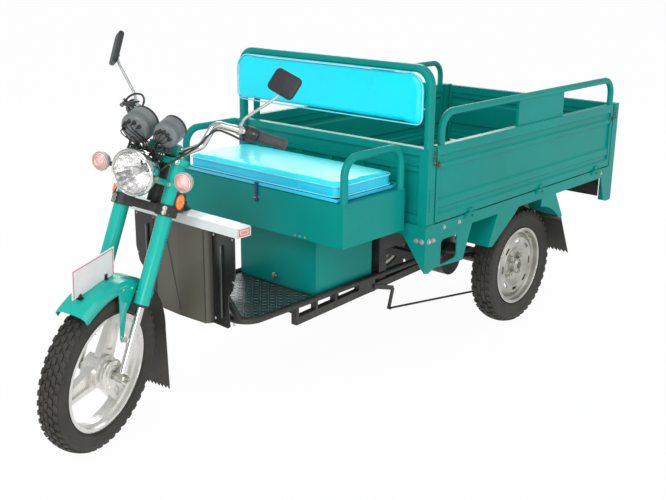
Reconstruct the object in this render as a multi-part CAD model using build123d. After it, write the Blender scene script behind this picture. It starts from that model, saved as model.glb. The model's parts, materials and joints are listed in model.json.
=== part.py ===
"""Electric cargo tricycle: open bed behind a bench seat, single steered wheel in front.

Frame: millimetres, +Z up, the vehicle faces -Y and its left side is +X. While it is modelled,
Y = 0 lies at the front axle and Z = 0 on the ground; at the end everything is moved along Y so
that the origin is under the middle of the whole vehicle.
"""
from build123d import *
import math
import os

os.makedirs("parts", exist_ok=True)

# ---------------------------------------------------------------- driving sizes
WHEELBASE = 1742.0            # front axle to rear axle
FIT_GAP = 0.3                 # running gap of pins, shafts and seated parts
CLAMP_GAP = 0.1               # gap round a clamped bar or bolt

# front wheel, 2.75-14 class
FRONT_TYRE_R = 247.4
FRONT_TYRE_HALF = 37.2
FRONT_RIM_R = 182.4
FRONT_RIM_HALF = 28.4
FRONT_SEAT_R = 176.0

# rear wheels, 3.00-12 class
REAR_TYRE_R = 233.6
REAR_TYRE_HALF = 43.2
REAR_RIM_R = 153.0
REAR_RIM_HALF = 36.0
REAR_SEAT_R = 146.0
REAR_TRACK_HALF = 343.0       # middle plane of each rear tyre

# steering geometry
RAKE = 22.3                   # steering axis leans back by this many degrees
FORK_OFFSET = 51.7            # fork legs lie this far ahead of the steering axis
REST_STEER = 20.0             # the parked fork is turned to the left
FORK_HALF = 75.0              # middle of each fork leg from the wheel plane
FORK_TUBE_R = 23.0
FORK_LEG_R = 11.5
FORK_SPLIT = 221.0            # along the axis from the axle: upper tube meets lower leg
FORK_TOP = 657.0
CLAMP_LOW = 489.0             # underside of the lower clamp
CLAMP_THICK = 26.0
YOKE_LOW = 637.0
YOKE_THICK = 18.0
STEM_R = 13.0
HEAD_R = 25.0
HEAD_GAP = 3.0                # bearing gap at each end of the head tube

# seat group
SEAT_HALF = 377.0
SEAT_FRONT = 668.0
SEAT_REAR = 979.0
SEAT_LOW = 540.0
SEAT_TOP = 682.0
SHEET = 3.0                   # sheet steel of boxes
LID_SIDE = 27.0               # the lid stands this far inside the seat box
LID_T = 12.0
CUSHION_T = 46.0
BASE_HALF = 181.0
BASE_FRONT = 760.0
BASE_UNDER_BED = 46.0         # the seat base reaches this far under the bed
ARM_R = 12.5
ARM_TOP = 836.0
ARM_BEND = 58.0
BACK_TOP = 1082.5
BACK_TUBE_W = 25.0
BACK_TUBE_D = 32.0
BACK_BEND = 70.0
BACK_PAD_LOW = 893.0
BACK_PAD_TOP = 1061.0
BACK_PAD_SIDE = 17.0          # the pad stands this far inside the posts
BACK_PAD_T = 26.0

# cargo bed
BED_HALF = 445.0              # outside of the sills
SEAT_TO_BED = 30.0
REAR_OVERHANG = 627.0         # bed behind the rear axle
BED_FRONT = SEAT_REAR + SEAT_TO_BED
BED_REAR = WHEELBASE + REAR_OVERHANG
SILL = 40.0                   # sill width
SILL_LOW = 515.0
SILL_TOP = 555.0
FLOOR_T = 4.0
FLOOR_LOW = SILL_TOP + 1 - FLOOR_T
POST_W = 36.0                 # corner post, across
POST_D = 42.0                 # corner post, along
BOARD_LOW = 560.0
BOARD_TOP = 821.0
POST_TOP = BOARD_TOP - 6      # front posts, under the back rest
BOARD_T = 24.0
BOARD_GAP = 8.0               # between a board and its posts
RAIL_TOP = 937.0
RAIL_R = 12.5
HINGE_R = 5.5
HINGE_OUT = HINGE_R + 0.5     # board hinge pin stands this far outside the board
PIN_R = 2.6
KNUCKLES = 66.0               # length of a board hinge
SEAM = 556.0                  # height of the board hinge pins

# chassis
BASE_REAR = BED_FRONT + BASE_UNDER_BED
RAIL_OUT = 207.0              # outside of the footboard rails
EDGE_R = 12.0                 # edge tube of the footboard
DECK_TOP = 317.0
DECK_T = 3.0
DECK_FRONT = 415.0
DECK_BEND = 62.0
MAIN_OUT = 200.0
MAIN_IN = 160.0
MAIN_LOW = 405.0
MAIN_TOP = 465.0
MAIN_FRONT = BASE_REAR + 20
MAIN_REAR = BED_REAR - 47

# leg shield and cross bar
SHIELD_HALF = 235.0
SHIELD_Y = 345.0
SHIELD_LOW = 324.0
SHIELD_TOP = 632.0
SHIELD_T = 4.0
BAR_HALF = 280.0
BAR_FRONT = 317.0
BAR_REAR = 369.0
BAR_LOW = 632.0
BAR_TOP = 662.0

# rear axle and springs
AXLE_R = 30.0
DRUM_R = 92.0
SPRING_X = 228.0
SPRING_W = 44.0
SPRING_HALF = 338.0
EYE_R = 14.0
EYE_BORE = 7.0
LEAF_T = 8.0

# ---------------------------------------------------------------- helpers
parts = {}


def add(name, shape):
    """Keep a finished sub-part under its own name."""
    parts[name] = shape


def block(x0, x1, y0, y1, z0, z1):
    """A box between two opposite corners."""
    mid = Pos((x0 + x1) / 2, (y0 + y1) / 2, (z0 + z1) / 2)
    return mid * Box(abs(x1 - x0), abs(y1 - y0), abs(z1 - z0))


def rod(start, end, radius):
    """A round bar between two points."""
    a = Vector(*start)
    run = Vector(*end) - a
    place = Plane(origin=a, z_dir=run)
    bar = Cylinder(radius, run.length, align=(Align.CENTER, Align.CENTER, Align.MIN))
    return place.location * bar


def bent_tube(points, bend, radius):
    """A round tube along straight runs with rounded corners."""
    path = FilletPolyline(*points, radius=bend)
    section = Plane(origin=path @ 0, z_dir=path % 0) * Circle(radius)
    return sweep(section, path=path)


def side_plate(points, x0, x1):
    """A plate whose outline is drawn in Y and Z, between two values of X."""
    outline = make_face(Plane.YZ * Polyline(*points, close=True))
    return Pos(x0, 0, 0) * extrude(outline, amount=x1 - x0, dir=(1, 0, 0))


def front_plate(points, y0, y1):
    """A plate whose outline is drawn in X and Z, between two values of Y."""
    outline = make_face(Polyline(*[(x, 0, z) for x, z in points], close=True))
    return Pos(0, y0, 0) * extrude(outline, amount=y1 - y0, dir=(0, 1, 0))


def flat_bar(start, end, width, x0, x1):
    """A straight flat bar in the Y-Z plane, from (y, z) to (y, z)."""
    dy, dz = end[0] - start[0], end[1] - start[1]
    length = math.hypot(dy, dz)
    ny, nz = -dz / length * width / 2, dy / length * width / 2
    outline = [(start[0] + ny, start[1] + nz), (end[0] + ny, end[1] + nz),
               (end[0] - ny, end[1] - nz), (start[0] - ny, start[1] - nz)]
    return side_plate(outline, x0, x1)


def mirrored(shape):
    """The same piece on the other side of the vehicle."""
    return mirror(shape, about=Plane.YZ)


def both(shape):
    """A piece and its twin on the other side, as two separate solids."""
    return Compound(children=[shape, mirrored(shape)])


def ring(points, arc=360.0):
    """A shape turned about the X axis; points are (x, radius)."""
    outline = make_face(Polyline(*points, close=True))
    return revolve(outline, axis=Axis.X, revolution_arc=arc)


def hinge(x_list, length, place, leaf_fixed, leaf_moving):
    """Knuckles along X at each x: outer two on the fixed piece with the pin, middle one moving."""
    fixed, moving = [], []
    third = length / 3
    for x in x_list:
        outer = [Pos(x - third, 0, 0), Pos(x + third, 0, 0)]
        for spot in outer:
            fixed.append(spot * Rot(0, 90, 0) * Cylinder(HINGE_R, third - 2 * FIT_GAP))
            fixed.append(spot * leaf_fixed(third - 2 * FIT_GAP))
        fixed.append(Pos(x, 0, 0) * Rot(0, 90, 0) * Cylinder(PIN_R, length - 2))
        knuckle = Rot(0, 90, 0) * Cylinder(HINGE_R, third - 2 * FIT_GAP) + leaf_moving(third - 2 * FIT_GAP)
        knuckle -= Rot(0, 90, 0) * Cylinder(PIN_R + FIT_GAP, third + 2)
        moving.append(Pos(x, 0, 0) * knuckle)
    return [place * s for s in fixed], [place * s for s in moving]


def fused(first, others):
    """Join several overlapping bars and plates into one welded piece."""
    result = first
    for item in others:
        result = result + item
    return result


TEETH = 7
TOOTH = 13.0                  # depth of the notches along the lower edge of each mud flap


def notches(edge, half):
    """Saw-tooth cuts up from the lower edge of a flap; the plane's X runs along that edge, Z through it."""
    pitch = 2 * half / TEETH
    cuts = []
    for k in range(TEETH):
        x = -half + k * pitch
        tooth = make_face(Polyline((x, -1), (x + pitch * 0.3, TOOTH), (x + pitch, -1), close=True))
        cuts.append(edge.location * extrude(tooth, amount=40, both=True))
    return cuts


# ---------------------------------------------------------------- steering frame
rake = math.radians(RAKE)
turn = math.radians(REST_STEER)
axis_dir = Vector(0, math.sin(rake), math.cos(rake))
# the foot of the steering axis, level with the axle along the axis
camber = math.asin(math.sin(rake) * math.sin(turn))
crown_r = FRONT_TYRE_R - FRONT_TYRE_HALF
axle_height = crown_r * math.cos(camber) + FRONT_TYRE_HALF
FOOT = Vector(0, FORK_OFFSET * math.cos(rake),
              axle_height - FORK_OFFSET * math.sin(rake) * math.cos(turn))
left_dir = Vector(math.cos(turn), math.cos(rake) * math.sin(turn), -math.sin(rake) * math.sin(turn))
HEAD = Plane(origin=FOOT, x_dir=(1, 0, 0), z_dir=axis_dir).location
FORK = Plane(origin=FOOT, x_dir=left_dir, z_dir=axis_dir).location
WHEEL_IN_FORK = Pos(0, -FORK_OFFSET, 0)
# straight ahead and level, seen in the fork's own frame
LEVEL_AHEAD = Vector(0, -math.cos(rake), -math.sin(rake))


def on_fork(shape):
    """Place a piece drawn in the fork's frame: x left, y rearward, z up the steering axis."""
    return FORK * shape


# ---------------------------------------------------------------- wheels
FLANGE_T = 3.0


def tyre(radius, half, rim_r, seat_r, seat_half):
    """A tyre with round sidewalls and crown, on its bead seats."""
    shoulder = (half * 0.80, radius - half * 0.36)
    waist = (half, (seat_r + radius) / 2 + 2)
    bead = (seat_half - FLANGE_T, seat_r)
    lip = (bead[0], rim_r + 1)
    outline = (Line((-bead[0], bead[1]), bead)
               + Line(bead, lip)
               + ThreePointArc(lip, waist, shoulder)
               + ThreePointArc(shoulder, (0, radius), (-shoulder[0], shoulder[1]))
               + ThreePointArc((-shoulder[0], shoulder[1]), (-waist[0], waist[1]), (-lip[0], lip[1]))
               + Line((-lip[0], lip[1]), (-bead[0], bead[1])))
    return revolve(make_face(outline), axis=Axis.X)


def rim_band(rim_r, half, seat_r, well_r, wall):
    """The rolled rim: flanges, bead seats and the drop centre between them."""
    flange = half - FLANGE_T
    well = half * 0.45
    return ring([(-half, rim_r), (-flange, rim_r), (-flange, seat_r), (-well, seat_r), (-well + 5, well_r),
                 (well - 5, well_r), (well, seat_r), (flange, seat_r), (flange, rim_r), (half, rim_r),
                 (half, seat_r - wall), (well + 3, seat_r - wall), (well - 2, well_r - wall),
                 (-well + 2, well_r - wall), (-well - 3, seat_r - wall), (-half, seat_r - wall)])


FRONT_WELL_R = 168.0
FRONT_HUB_R = 52.0
FRONT_HUB_HALF = 42.0
FRONT_BORE_R = 8.0
FRONT_AXLE_R = 7.5


def front_rim():
    """Cast wheel: rim, three broad spokes, drum hub."""
    wheel = rim_band(FRONT_RIM_R, FRONT_RIM_HALF, FRONT_SEAT_R, FRONT_WELL_R, 5)
    wheel += ring([(-FRONT_HUB_HALF, FRONT_BORE_R), (-FRONT_HUB_HALF, 30), (-34, FRONT_HUB_R),
                   (20, FRONT_HUB_R), (26, 38), (FRONT_HUB_HALF, 24), (FRONT_HUB_HALF, FRONT_BORE_R)])
    spoke = side_plate([(-36, 40), (-23, 166), (23, 166), (36, 40)], -11, 11)
    spoke -= side_plate([(-15, 66), (-10, 146), (10, 146), (15, 66)], -20, -5)
    spoke -= side_plate([(-15, 66), (-10, 146), (10, 146), (15, 66)], 5, 20)
    for k in range(3):
        wheel += Rot(120 * k, 0, 0) * spoke
    return wheel


front_tyre = tyre(FRONT_TYRE_R, FRONT_TYRE_HALF, FRONT_RIM_R, FRONT_SEAT_R, FRONT_RIM_HALF)
add("front_tyre", on_fork(WHEEL_IN_FORK * front_tyre))
add("front_rim", on_fork(WHEEL_IN_FORK * front_rim()))

REAR_WELL_R = 136.0
REAR_DISC_X = 14.0            # disc face, outboard of the tyre plane
SHAFT_R = 15.0
HUB_R = 44.0
HUB_IN = 46.0                 # inner end of the hub from the tyre plane


def rear_rim():
    """Pressed steel wheel for the left side: band, dished disc with slots, hub and wheel nuts."""
    wheel = rim_band(REAR_RIM_R, REAR_RIM_HALF, REAR_SEAT_R, REAR_WELL_R, 4)
    disc = ring([(REAR_DISC_X - 4, 30), (REAR_DISC_X, 30), (REAR_DISC_X, 62), (REAR_DISC_X + 10, 84),
                 (REAR_DISC_X + 10, 112), (REAR_DISC_X - 2, 134), (REAR_DISC_X - 6, 134),
                 (REAR_DISC_X + 6, 111), (REAR_DISC_X + 6, 85), (REAR_DISC_X - 4, 63)])
    slot = side_plate([(-15, 92), (15, 92), (15, 104), (-15, 104)], REAR_DISC_X - 10, REAR_DISC_X + 16)
    for k in range(8):
        disc -= Rot(45 * k, 0, 0) * slot
    wheel += disc
    wheel += ring([(-HUB_IN, 0), (-HUB_IN, SHAFT_R), (-30, SHAFT_R), (-30, HUB_R), (REAR_DISC_X - 2, HUB_R),
                   (REAR_DISC_X - 2, 31), (REAR_DISC_X + 18, 26), (REAR_DISC_X + 24, 18),
                   (REAR_DISC_X + 24, 0)])
    for k in range(4):
        stud = Pos(REAR_DISC_X - 1, 0, 44) * Rot(0, 90, 0)
        nut = extrude(RegularPolygon(9, 6), amount=11) + extrude(Circle(5), amount=17)
        wheel += Rot(90 * k + 45, 0, 0) * (stud * nut)
    return wheel


REAR_LEFT = Pos(REAR_TRACK_HALF, WHEELBASE, REAR_TYRE_R)
left_tyre = REAR_LEFT * tyre(REAR_TYRE_R, REAR_TYRE_HALF, REAR_RIM_R, REAR_SEAT_R, REAR_RIM_HALF)
left_rim = REAR_LEFT * rear_rim()
add("rear_tyre_left", left_tyre)
add("rear_tyre_right", mirrored(left_tyre))
add("rear_rim_left", left_rim)
add("rear_rim_right", mirrored(left_rim))

# ---------------------------------------------------------------- chassis
DOWN_TUBE = [(0, 262, 744), (0, 364, 650), (0, 402, 570), (0, 427, 306)]
DOWN_R = 20.0
DOWN_BEND = 60.0
LADDER_IN = RAIL_OUT - 2 * EDGE_R
HANGER_FRONT = WHEELBASE - SPRING_HALF
HANGER_REAR = WHEELBASE + SPRING_HALF
EYE_Z = 330.0
SPRING_MID = 284.0            # middle of the main leaf over the axle
LADDER_FRONT = 640.0
LADDER_REAR = HANGER_FRONT - 4
LADDER_T = 26.0               # depth of the lower rail
LADDER_POSTS = [739.0, 836.0]
POST_T = 10.0
CROSS_W = 24.0
CROSS_LOW = 288.0
EDGE_Z = DECK_TOP - 1
EDGE_REAR = HANGER_FRONT - 74
STEP_W = 40.0                 # drop plates and cross members of the main rails
LOCK_TAB = 6.0


def ladder_side(side):
    """Lower rail of one side with its posts up to the edge tube and the brace up to the down tube."""
    inner, outer = sorted((side * LADDER_IN, side * RAIL_OUT))
    low, rise = 251.0, 32.0
    rail = side_plate([(LADDER_FRONT, low), (LADDER_REAR, low + rise), (LADDER_REAR, low + rise + LADDER_T),
                       (LADDER_FRONT, low + LADDER_T)], inner, outer)
    posts = [(LADDER_FRONT, LADDER_FRONT + 12)] + [(y - POST_T / 2, y + POST_T / 2) for y in LADDER_POSTS]
    posts += [(BED_FRONT - 51, BASE_REAR - 9)]
    for y0, y1 in posts:
        rail += block(inner, outer, y0, y1, low + 15, EDGE_Z)
    brace_top, brace_r = (0, 404, 545), 11
    return rail + rod(brace_top, (side * 165, DECK_FRONT + EDGE_R, EDGE_Z), brace_r)


def main_side(side):
    """Main rail of one side with its drop plate, spring hangers and the bracket for the ladder."""
    inner, outer = sorted((side * MAIN_IN, side * MAIN_OUT))
    drop_low = 300.0
    rail = side_plate([(MAIN_FRONT, MAIN_TOP), (MAIN_FRONT, drop_low), (MAIN_FRONT + STEP_W, drop_low),
                       (MAIN_FRONT + STEP_W, MAIN_LOW), (MAIN_REAR, MAIN_LOW),
                       (MAIN_REAR, MAIN_TOP)], inner, outer)
    hanger_out = SPRING_X - SPRING_W / 2 - 1
    pin_out = SPRING_X + SPRING_W / 2 + 8
    for y in (HANGER_FRONT, HANGER_REAR):
        rail += block(side * (MAIN_OUT - 20), side * hanger_out, y - 20, y + 20, EYE_Z - 18, MAIN_LOW + 30)
        rail += rod((side * (MAIN_OUT - 5), y, EYE_Z), (side * pin_out, y, EYE_Z), EYE_BORE - FIT_GAP)
    return rail + block(side * (MAIN_OUT - 18), side * MAIN_OUT, HANGER_FRONT - 30, HANGER_FRONT + 14,
                        drop_low - 10, MAIN_LOW + 10)


def cross_members():
    """Bars between the ladder rails and between the main rails."""
    bars = []
    for y in (LADDER_FRONT, 850, BASE_REAR - 9):
        bars.append(block(-LADDER_IN - 2, LADDER_IN + 2, y, y + CROSS_W, CROSS_LOW, DECK_TOP - DECK_T))
    tie = LADDER_REAR - 38
    bars.append(block(-LADDER_IN - 2, LADDER_IN + 2, tie, tie + 30, CROSS_LOW + 2, CROSS_LOW + 32))
    for y in (MAIN_FRONT + STEP_W / 2, HANGER_FRONT, HANGER_REAR, MAIN_REAR - STEP_W / 2):
        front, rear = y - STEP_W / 2, y + STEP_W / 2
        bars.append(block(-MAIN_IN - 4, MAIN_IN + 4, front, rear, MAIN_LOW + 10, MAIN_TOP - 10))
    return bars


def chassis_frame():
    """Head tube, down tube, footboard edge tube, ladder rails, main rails and spring hangers."""
    head_low = CLAMP_LOW + CLAMP_THICK + HEAD_GAP
    head_len = YOKE_LOW - HEAD_GAP - head_low
    head = HEAD * Pos(0, 0, head_low + head_len / 2) * Cylinder(HEAD_R, head_len)
    edge_y, edge_x = DECK_FRONT + EDGE_R, RAIL_OUT - EDGE_R
    edge = bent_tube([(-edge_x, EDGE_REAR, EDGE_Z), (-edge_x, edge_y, EDGE_Z), (edge_x, edge_y, EDGE_Z),
                      (edge_x, EDGE_REAR, EDGE_Z)], DECK_BEND, EDGE_R)
    frame = fused(head, [bent_tube(DOWN_TUBE, DOWN_BEND, DOWN_R), edge])
    for side in (-1, 1):
        frame = frame + ladder_side(side) + main_side(side)
    frame = fused(frame, cross_members())
    frame += block(-LOCK_TAB, LOCK_TAB, 290, 364, 655, 690)
    middle = HEAD * Pos(0, 0, (CLAMP_LOW + FORK_TOP) / 2)
    return frame - middle * Cylinder(STEM_R + FIT_GAP, FORK_TOP - CLAMP_LOW + 100)


chassis = chassis_frame()
add("chassis_frame", chassis)


def footboard():
    """Chequered deck plate between the edge tubes, running back under the seat base."""
    front, rear = DECK_FRONT + 2 * EDGE_R, BASE_REAR + 12
    outline = make_face(Polyline((-LADDER_IN, rear), (-LADDER_IN, front), (LADDER_IN, front),
                                 (LADDER_IN, rear), close=True))
    outline = fillet(outline.vertices().sort_by(Axis.Y)[:2], DECK_BEND - EDGE_R + FIT_GAP)
    deck = Pos(0, 0, DECK_TOP - DECK_T) * extrude(outline, amount=DECK_T)
    return deck - bent_tube(DOWN_TUBE, DOWN_BEND, DOWN_R + FIT_GAP)


add("footboard", footboard())

# ---------------------------------------------------------------- leg shield and cross bar
SHIELD_MID = 116.0            # half width of the raised middle panel
SHIELD_PROUD = 22.0           # how far the middle panel stands forward


def leg_shield():
    """Moulded shield: raised middle panel between two flatter wings, cut away low at each side."""
    proud = SHIELD_Y - SHIELD_PROUD
    left_half = [(SHIELD_MID, proud + 6), (SHIELD_MID + 14, SHIELD_Y + 6), (SHIELD_HALF, SHIELD_Y)]
    outer = [(-x, y) for x, y in reversed(left_half)] + [(0, proud)] + left_half
    inner = [(x, y + SHIELD_T) for x, y in reversed(outer)]
    plan = make_face(Polyline(*(outer + inner), close=True))
    sheet = Pos(0, 0, SHIELD_LOW) * extrude(plan, amount=SHIELD_TOP - SHIELD_LOW)
    right = [(SHIELD_HALF, SHIELD_TOP), (SHIELD_HALF, 500), (222, 452), (203, 430), (200, 400), (206, 330),
             (196, SHIELD_LOW)]
    left = [(-x, z) for x, z in reversed(right)]
    return sheet & front_plate(right + left, SHIELD_Y - 60, SHIELD_Y + 60)


add("leg_shield", leg_shield())
bar = block(-BAR_HALF, BAR_HALF, BAR_FRONT, BAR_REAR, BAR_LOW, BAR_TOP)
bar -= bent_tube(DOWN_TUBE, DOWN_BEND, DOWN_R + FIT_GAP)
tab_slot = LOCK_TAB + 1
add("shield_bar", bar - block(-tab_slot, tab_slot, 280, 372, 654, 700))

# ---------------------------------------------------------------- seat base, battery and door
DOOR_HALF = BASE_HALF - 5
DOOR_LOW = 324.0
DOOR_TOP = 520.0
DOOR_T = 3.0
DOOR_PIN = (BASE_FRONT - 6.5, 527.0)


def base_box():
    """Sheet steel box under the seat, open at the front for the battery."""
    def outline(inset):
        step_y, step_z = BED_FRONT - 8 - inset, SILL_LOW - 4 - inset
        return [(BASE_FRONT + inset, DECK_TOP + inset), (BASE_REAR - inset, DECK_TOP + inset),
                (BASE_REAR - inset, step_z), (step_y, step_z), (step_y, SEAT_LOW - inset),
                (BASE_FRONT + inset, SEAT_LOW - inset)]
    box = side_plate(outline(0), -BASE_HALF, BASE_HALF)
    box -= side_plate(outline(SHEET), -BASE_HALF + SHEET, BASE_HALF - SHEET)
    mouth = DOOR_HALF - 14
    return box - block(-mouth, mouth, BASE_FRONT - 5, BASE_FRONT + 10, DOOR_LOW + 12, DOOR_TOP - 10)


door_place = Pos(0, DOOR_PIN[0], DOOR_PIN[1])
door_hinge_fixed, door_hinge_moving = hinge(
    [-DOOR_HALF + 66, DOOR_HALF - 66], 72, door_place,
    lambda w: block(-w / 2, w / 2, -1, 6.5, 1, 5),
    lambda w: block(-w / 2, w / 2, 0.5, 5.5, -9, 0))
add("base_box", fused(base_box(), door_hinge_fixed))
door = block(-DOOR_HALF, DOOR_HALF, BASE_FRONT - FIT_GAP - DOOR_T, BASE_FRONT - FIT_GAP, DOOR_LOW, DOOR_TOP)
add("base_box_door", fused(door, door_hinge_moving))
half, top = BASE_HALF - 31, 485
add("battery_pack", block(-half, half, BASE_FRONT + 30, BASE_REAR - 15, DECK_TOP + SHEET, top))

# ---------------------------------------------------------------- seat box, lid and arm rests
LID_HALF = SEAT_HALF - LID_SIDE
LID_PIN = (SEAT_REAR - 10, SEAT_TOP + 8.5)
LID_FRONT = SEAT_FRONT + 2
LID_REAR = SEAT_REAR - 24


def seat_box():
    """Sheet steel locker under the bench with a flanged opening on top."""
    box = block(-SEAT_HALF, SEAT_HALF, SEAT_FRONT, SEAT_REAR, SEAT_LOW, SEAT_TOP)
    box -= block(-SEAT_HALF + SHEET, SEAT_HALF - SHEET, SEAT_FRONT + SHEET, SEAT_REAR - SHEET,
                 SEAT_LOW + SHEET, SEAT_TOP - SHEET)
    mouth = LID_HALF - 22
    return box - block(-mouth, mouth, SEAT_FRONT + 24, LID_REAR - 14, SEAT_TOP - 10, SEAT_TOP + 5)


lid_place = Pos(0, LID_PIN[0], LID_PIN[1])
lid_hinge_fixed, lid_hinge_moving = hinge(
    [-LID_HALF + 120, LID_HALF - 120], 72, lid_place,
    lambda w: block(-w / 2, w / 2, -3, 3, -8.5, 0),
    lambda w: block(-w / 2, w / 2, -16, 0, -2, 2))
add("seat_box", fused(seat_box(), lid_hinge_fixed))
lid = block(-LID_HALF, LID_HALF, LID_FRONT, LID_REAR, SEAT_TOP + FIT_GAP, SEAT_TOP + FIT_GAP + LID_T)
add("seat_lid", fused(lid, lid_hinge_moving))
pad_low = SEAT_TOP + 2 * FIT_GAP + LID_T
pad = block(-LID_HALF, LID_HALF, LID_FRONT, LID_REAR, pad_low, pad_low + CUSHION_T)
pad = fillet(pad.edges().filter_by(Axis.Z), 18)
pad = fillet(pad.faces().sort_by(Axis.Z)[-1].edges(), 16)
add("seat_cushion", pad)



def arm_rest():
    """Left arm rest: a bent tube hoop standing on the seat box."""
    x, top = SEAT_HALF - 9, ARM_TOP - ARM_R
    front, rear = SEAT_FRONT + 14, SEAT_REAR - 15
    hoop = [(x, front, SEAT_TOP), (x, front, top), (x, rear, top), (x, rear, SEAT_TOP)]
    return bent_tube(hoop, ARM_BEND, ARM_R)


add("armrests", both(arm_rest()))

# ---------------------------------------------------------------- cargo bed
post_in = BED_HALF - POST_W
post_rear = BED_FRONT + POST_D
rear_post_front = BED_REAR - POST_D - 2
sill_in = BED_HALF - SILL
LEG_LOW = 403.0
LEG_T = 4.0
BEARERS = 4
BEARER_W = 40.0


def corner_plates():
    """Plates that hang below the left side of the bed at its front and rear corners."""
    skin = (BED_HALF - LEG_T, BED_HALF)
    y, low, top = BED_FRONT, LEG_LOW, SILL_LOW - FIT_GAP
    seam_y = rear_post_front - FIT_GAP
    leg = side_plate([(y, top), (y + 277, top), (y + 227, low - 13), (y + 196, low - 11), (y + 57, low - 2),
                      (y + 21, low - 15), (y, low - 9)], *skin)
    window = [(y + 91, 484), (y + 103, 493), (y + 187, 493), (y + 187, 420), (y + 177, 410), (y + 91, 404)]
    leg -= side_plate(window, skin[0] - 5, skin[1] + 5)
    leg += front_plate([(BED_HALF - 106, top), (BED_HALF, top), (BED_HALF, low - 9), (BED_HALF - 17, low + 6),
                        (BED_HALF - 93, top - 4)], y, y + LEG_T)
    rear = [(BED_REAR - 106, top), (seam_y, top), (seam_y, low + 3), (BED_REAR - 66, low + 6)]
    return leg + side_plate(rear, *skin)


def bed_frame():
    """Sills, cross bearers, stringers and corner posts, welded together."""
    frame = block(-BED_HALF, BED_HALF, BED_FRONT, BED_FRONT + SILL, SILL_LOW, SILL_TOP)
    frame += block(-BED_HALF, BED_HALF, BED_REAR - SILL, BED_REAR, SILL_LOW, SILL_TOP - 3)
    pitch = (BED_REAR - BED_FRONT) / (BEARERS + 1)
    for k in range(1, BEARERS + 1):
        y = BED_FRONT + k * pitch
        frame += block(-sill_in - 2, sill_in + 2, y, y + BEARER_W, SILL_LOW, FLOOR_LOW)
    for side in (-1, 1):
        frame += block(side * sill_in, side * BED_HALF, BED_FRONT, BED_REAR, SILL_LOW, SILL_TOP)
        inner, outer = side * post_in, side * BED_HALF
        frame += block(side * MAIN_IN, side * MAIN_OUT, BASE_REAR + 5, rear_post_front, MAIN_TOP,
                       SILL_LOW + 2)
        frame += block(inner, outer, BED_FRONT, post_rear, SILL_LOW, POST_TOP)
        frame += block(inner, outer, rear_post_front, BED_REAR, LEG_LOW, BOARD_TOP)
    return frame


# steps of a pressed board from its lower edge: (height, outer face set back from BOARD_T)
BOARD_STEPS = [(0, 0), (24, 0), (32, 6), (44, 6), (50, 2), (74, 2), (82, 8), (176, 8), (184, 2), (196, 2),
               (204, 8)]
TOP_RAIL_H = 37.0
PRESS_T = 12.0                # wall of the pressed board, outer face to inner face


def board_profile(top):
    """Pressed section of a side board: (distance outward, height), outer face first."""
    outer = [(BOARD_T - back, BOARD_LOW + up) for up, back in BOARD_STEPS]
    outer += [(BOARD_T - 8, top - TOP_RAIL_H), (BOARD_T, top - TOP_RAIL_H + 4), (BOARD_T, top)]
    inner = [(max(0, out - PRESS_T), z) for out, z in outer[1:-2]]
    inner[0] = (0, BOARD_LOW + 24)
    return outer + [(0, top), (0, top - TOP_RAIL_H + 4)] + inner[::-1] + [(0, BOARD_LOW)]


board_front = post_rear + BOARD_GAP
board_rear = rear_post_front - BOARD_GAP
board_in = BED_HALF - BOARD_T
board_mid = (board_front + board_rear) / 2
PLATE_LEN = 328.0
END_T = 14.0                  # closing piece at each end of a board
RAIL_BEND = 62.0


def side_board():
    """Left drop side: pressed panel with a tube rail and a centre plate above it."""
    panel = front_plate([(board_in + out, z) for out, z in board_profile(BOARD_TOP)], board_front, board_rear)
    for y in (board_front, board_rear - END_T):
        panel += block(board_in, BED_HALF, y, y + END_T, BOARD_LOW, BOARD_TOP)
    mid, foot, rail_z = BED_HALF - BOARD_T / 2, BOARD_TOP - 6, RAIL_TOP - RAIL_R
    front, rear = board_front + 34, board_rear - END_T
    rail = bent_tube([(mid, front, foot), (mid, front, rail_z), (mid, rear, rail_z), (mid, rear, foot)],
                     RAIL_BEND, RAIL_R)
    plate_y = board_mid + 42
    plate = block(mid - 6, mid + 6, plate_y - PLATE_LEN / 2, plate_y + PLATE_LEN / 2, BOARD_TOP - 4, rail_z)
    return panel + rail + plate


def below_pin(width):
    """Leaf of a bed hinge on the sill, drawn on the pin with the board towards -Y."""
    return block(-width / 2, width / 2, -HINGE_OUT, 0, -14, -1)


def above_pin(width):
    """Leaf of a bed hinge on the drop board."""
    return block(-width / 2, width / 2, -HINGE_OUT, 0, 1, 18)


side_hinges = [board_front + 210, board_mid + 62, board_rear - 117]
side_place = Pos(BED_HALF + HINGE_OUT, 0, SEAM) * Rot(0, 0, -90)
side_fixed, side_moving = hinge([-y for y in side_hinges], KNUCKLES, side_place, below_pin, above_pin)
left_board = fused(side_board(), side_moving)
add("side_board_left", left_board)
add("side_board_right", mirrored(left_board))

GATE_T = BOARD_T
GATE_TOP = BOARD_TOP - 3
gate_half = post_in - 5


def tailgate():
    """Drop tailgate: the same pressed section as the side boards, across the rear."""
    section = [(BED_REAR - GATE_T + out, z) for out, z in board_profile(GATE_TOP)]
    panel = side_plate(section, -gate_half, gate_half)
    for x in (-gate_half, gate_half - END_T):
        panel += block(x, x + END_T, BED_REAR - GATE_T, BED_REAR, BOARD_LOW, GATE_TOP)
    return panel


gate_hinges = [-gate_half + 134, 0, gate_half - 134]
gate_place = Pos(0, BED_REAR + HINGE_OUT, SEAM)
gate_fixed, gate_moving = hinge(gate_hinges, KNUCKLES, gate_place, below_pin, above_pin)
add("tailgate", fused(tailgate(), gate_moving))
add("bed_frame", fused(bed_frame(), side_fixed + [mirrored(s) for s in side_fixed] + gate_fixed))
add("corner_plates", both(corner_plates()))
add("bed_floor", block(-sill_in, sill_in, BED_FRONT + SILL, BED_REAR - SILL, FLOOR_LOW, FLOOR_LOW + FLOOR_T))


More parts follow.
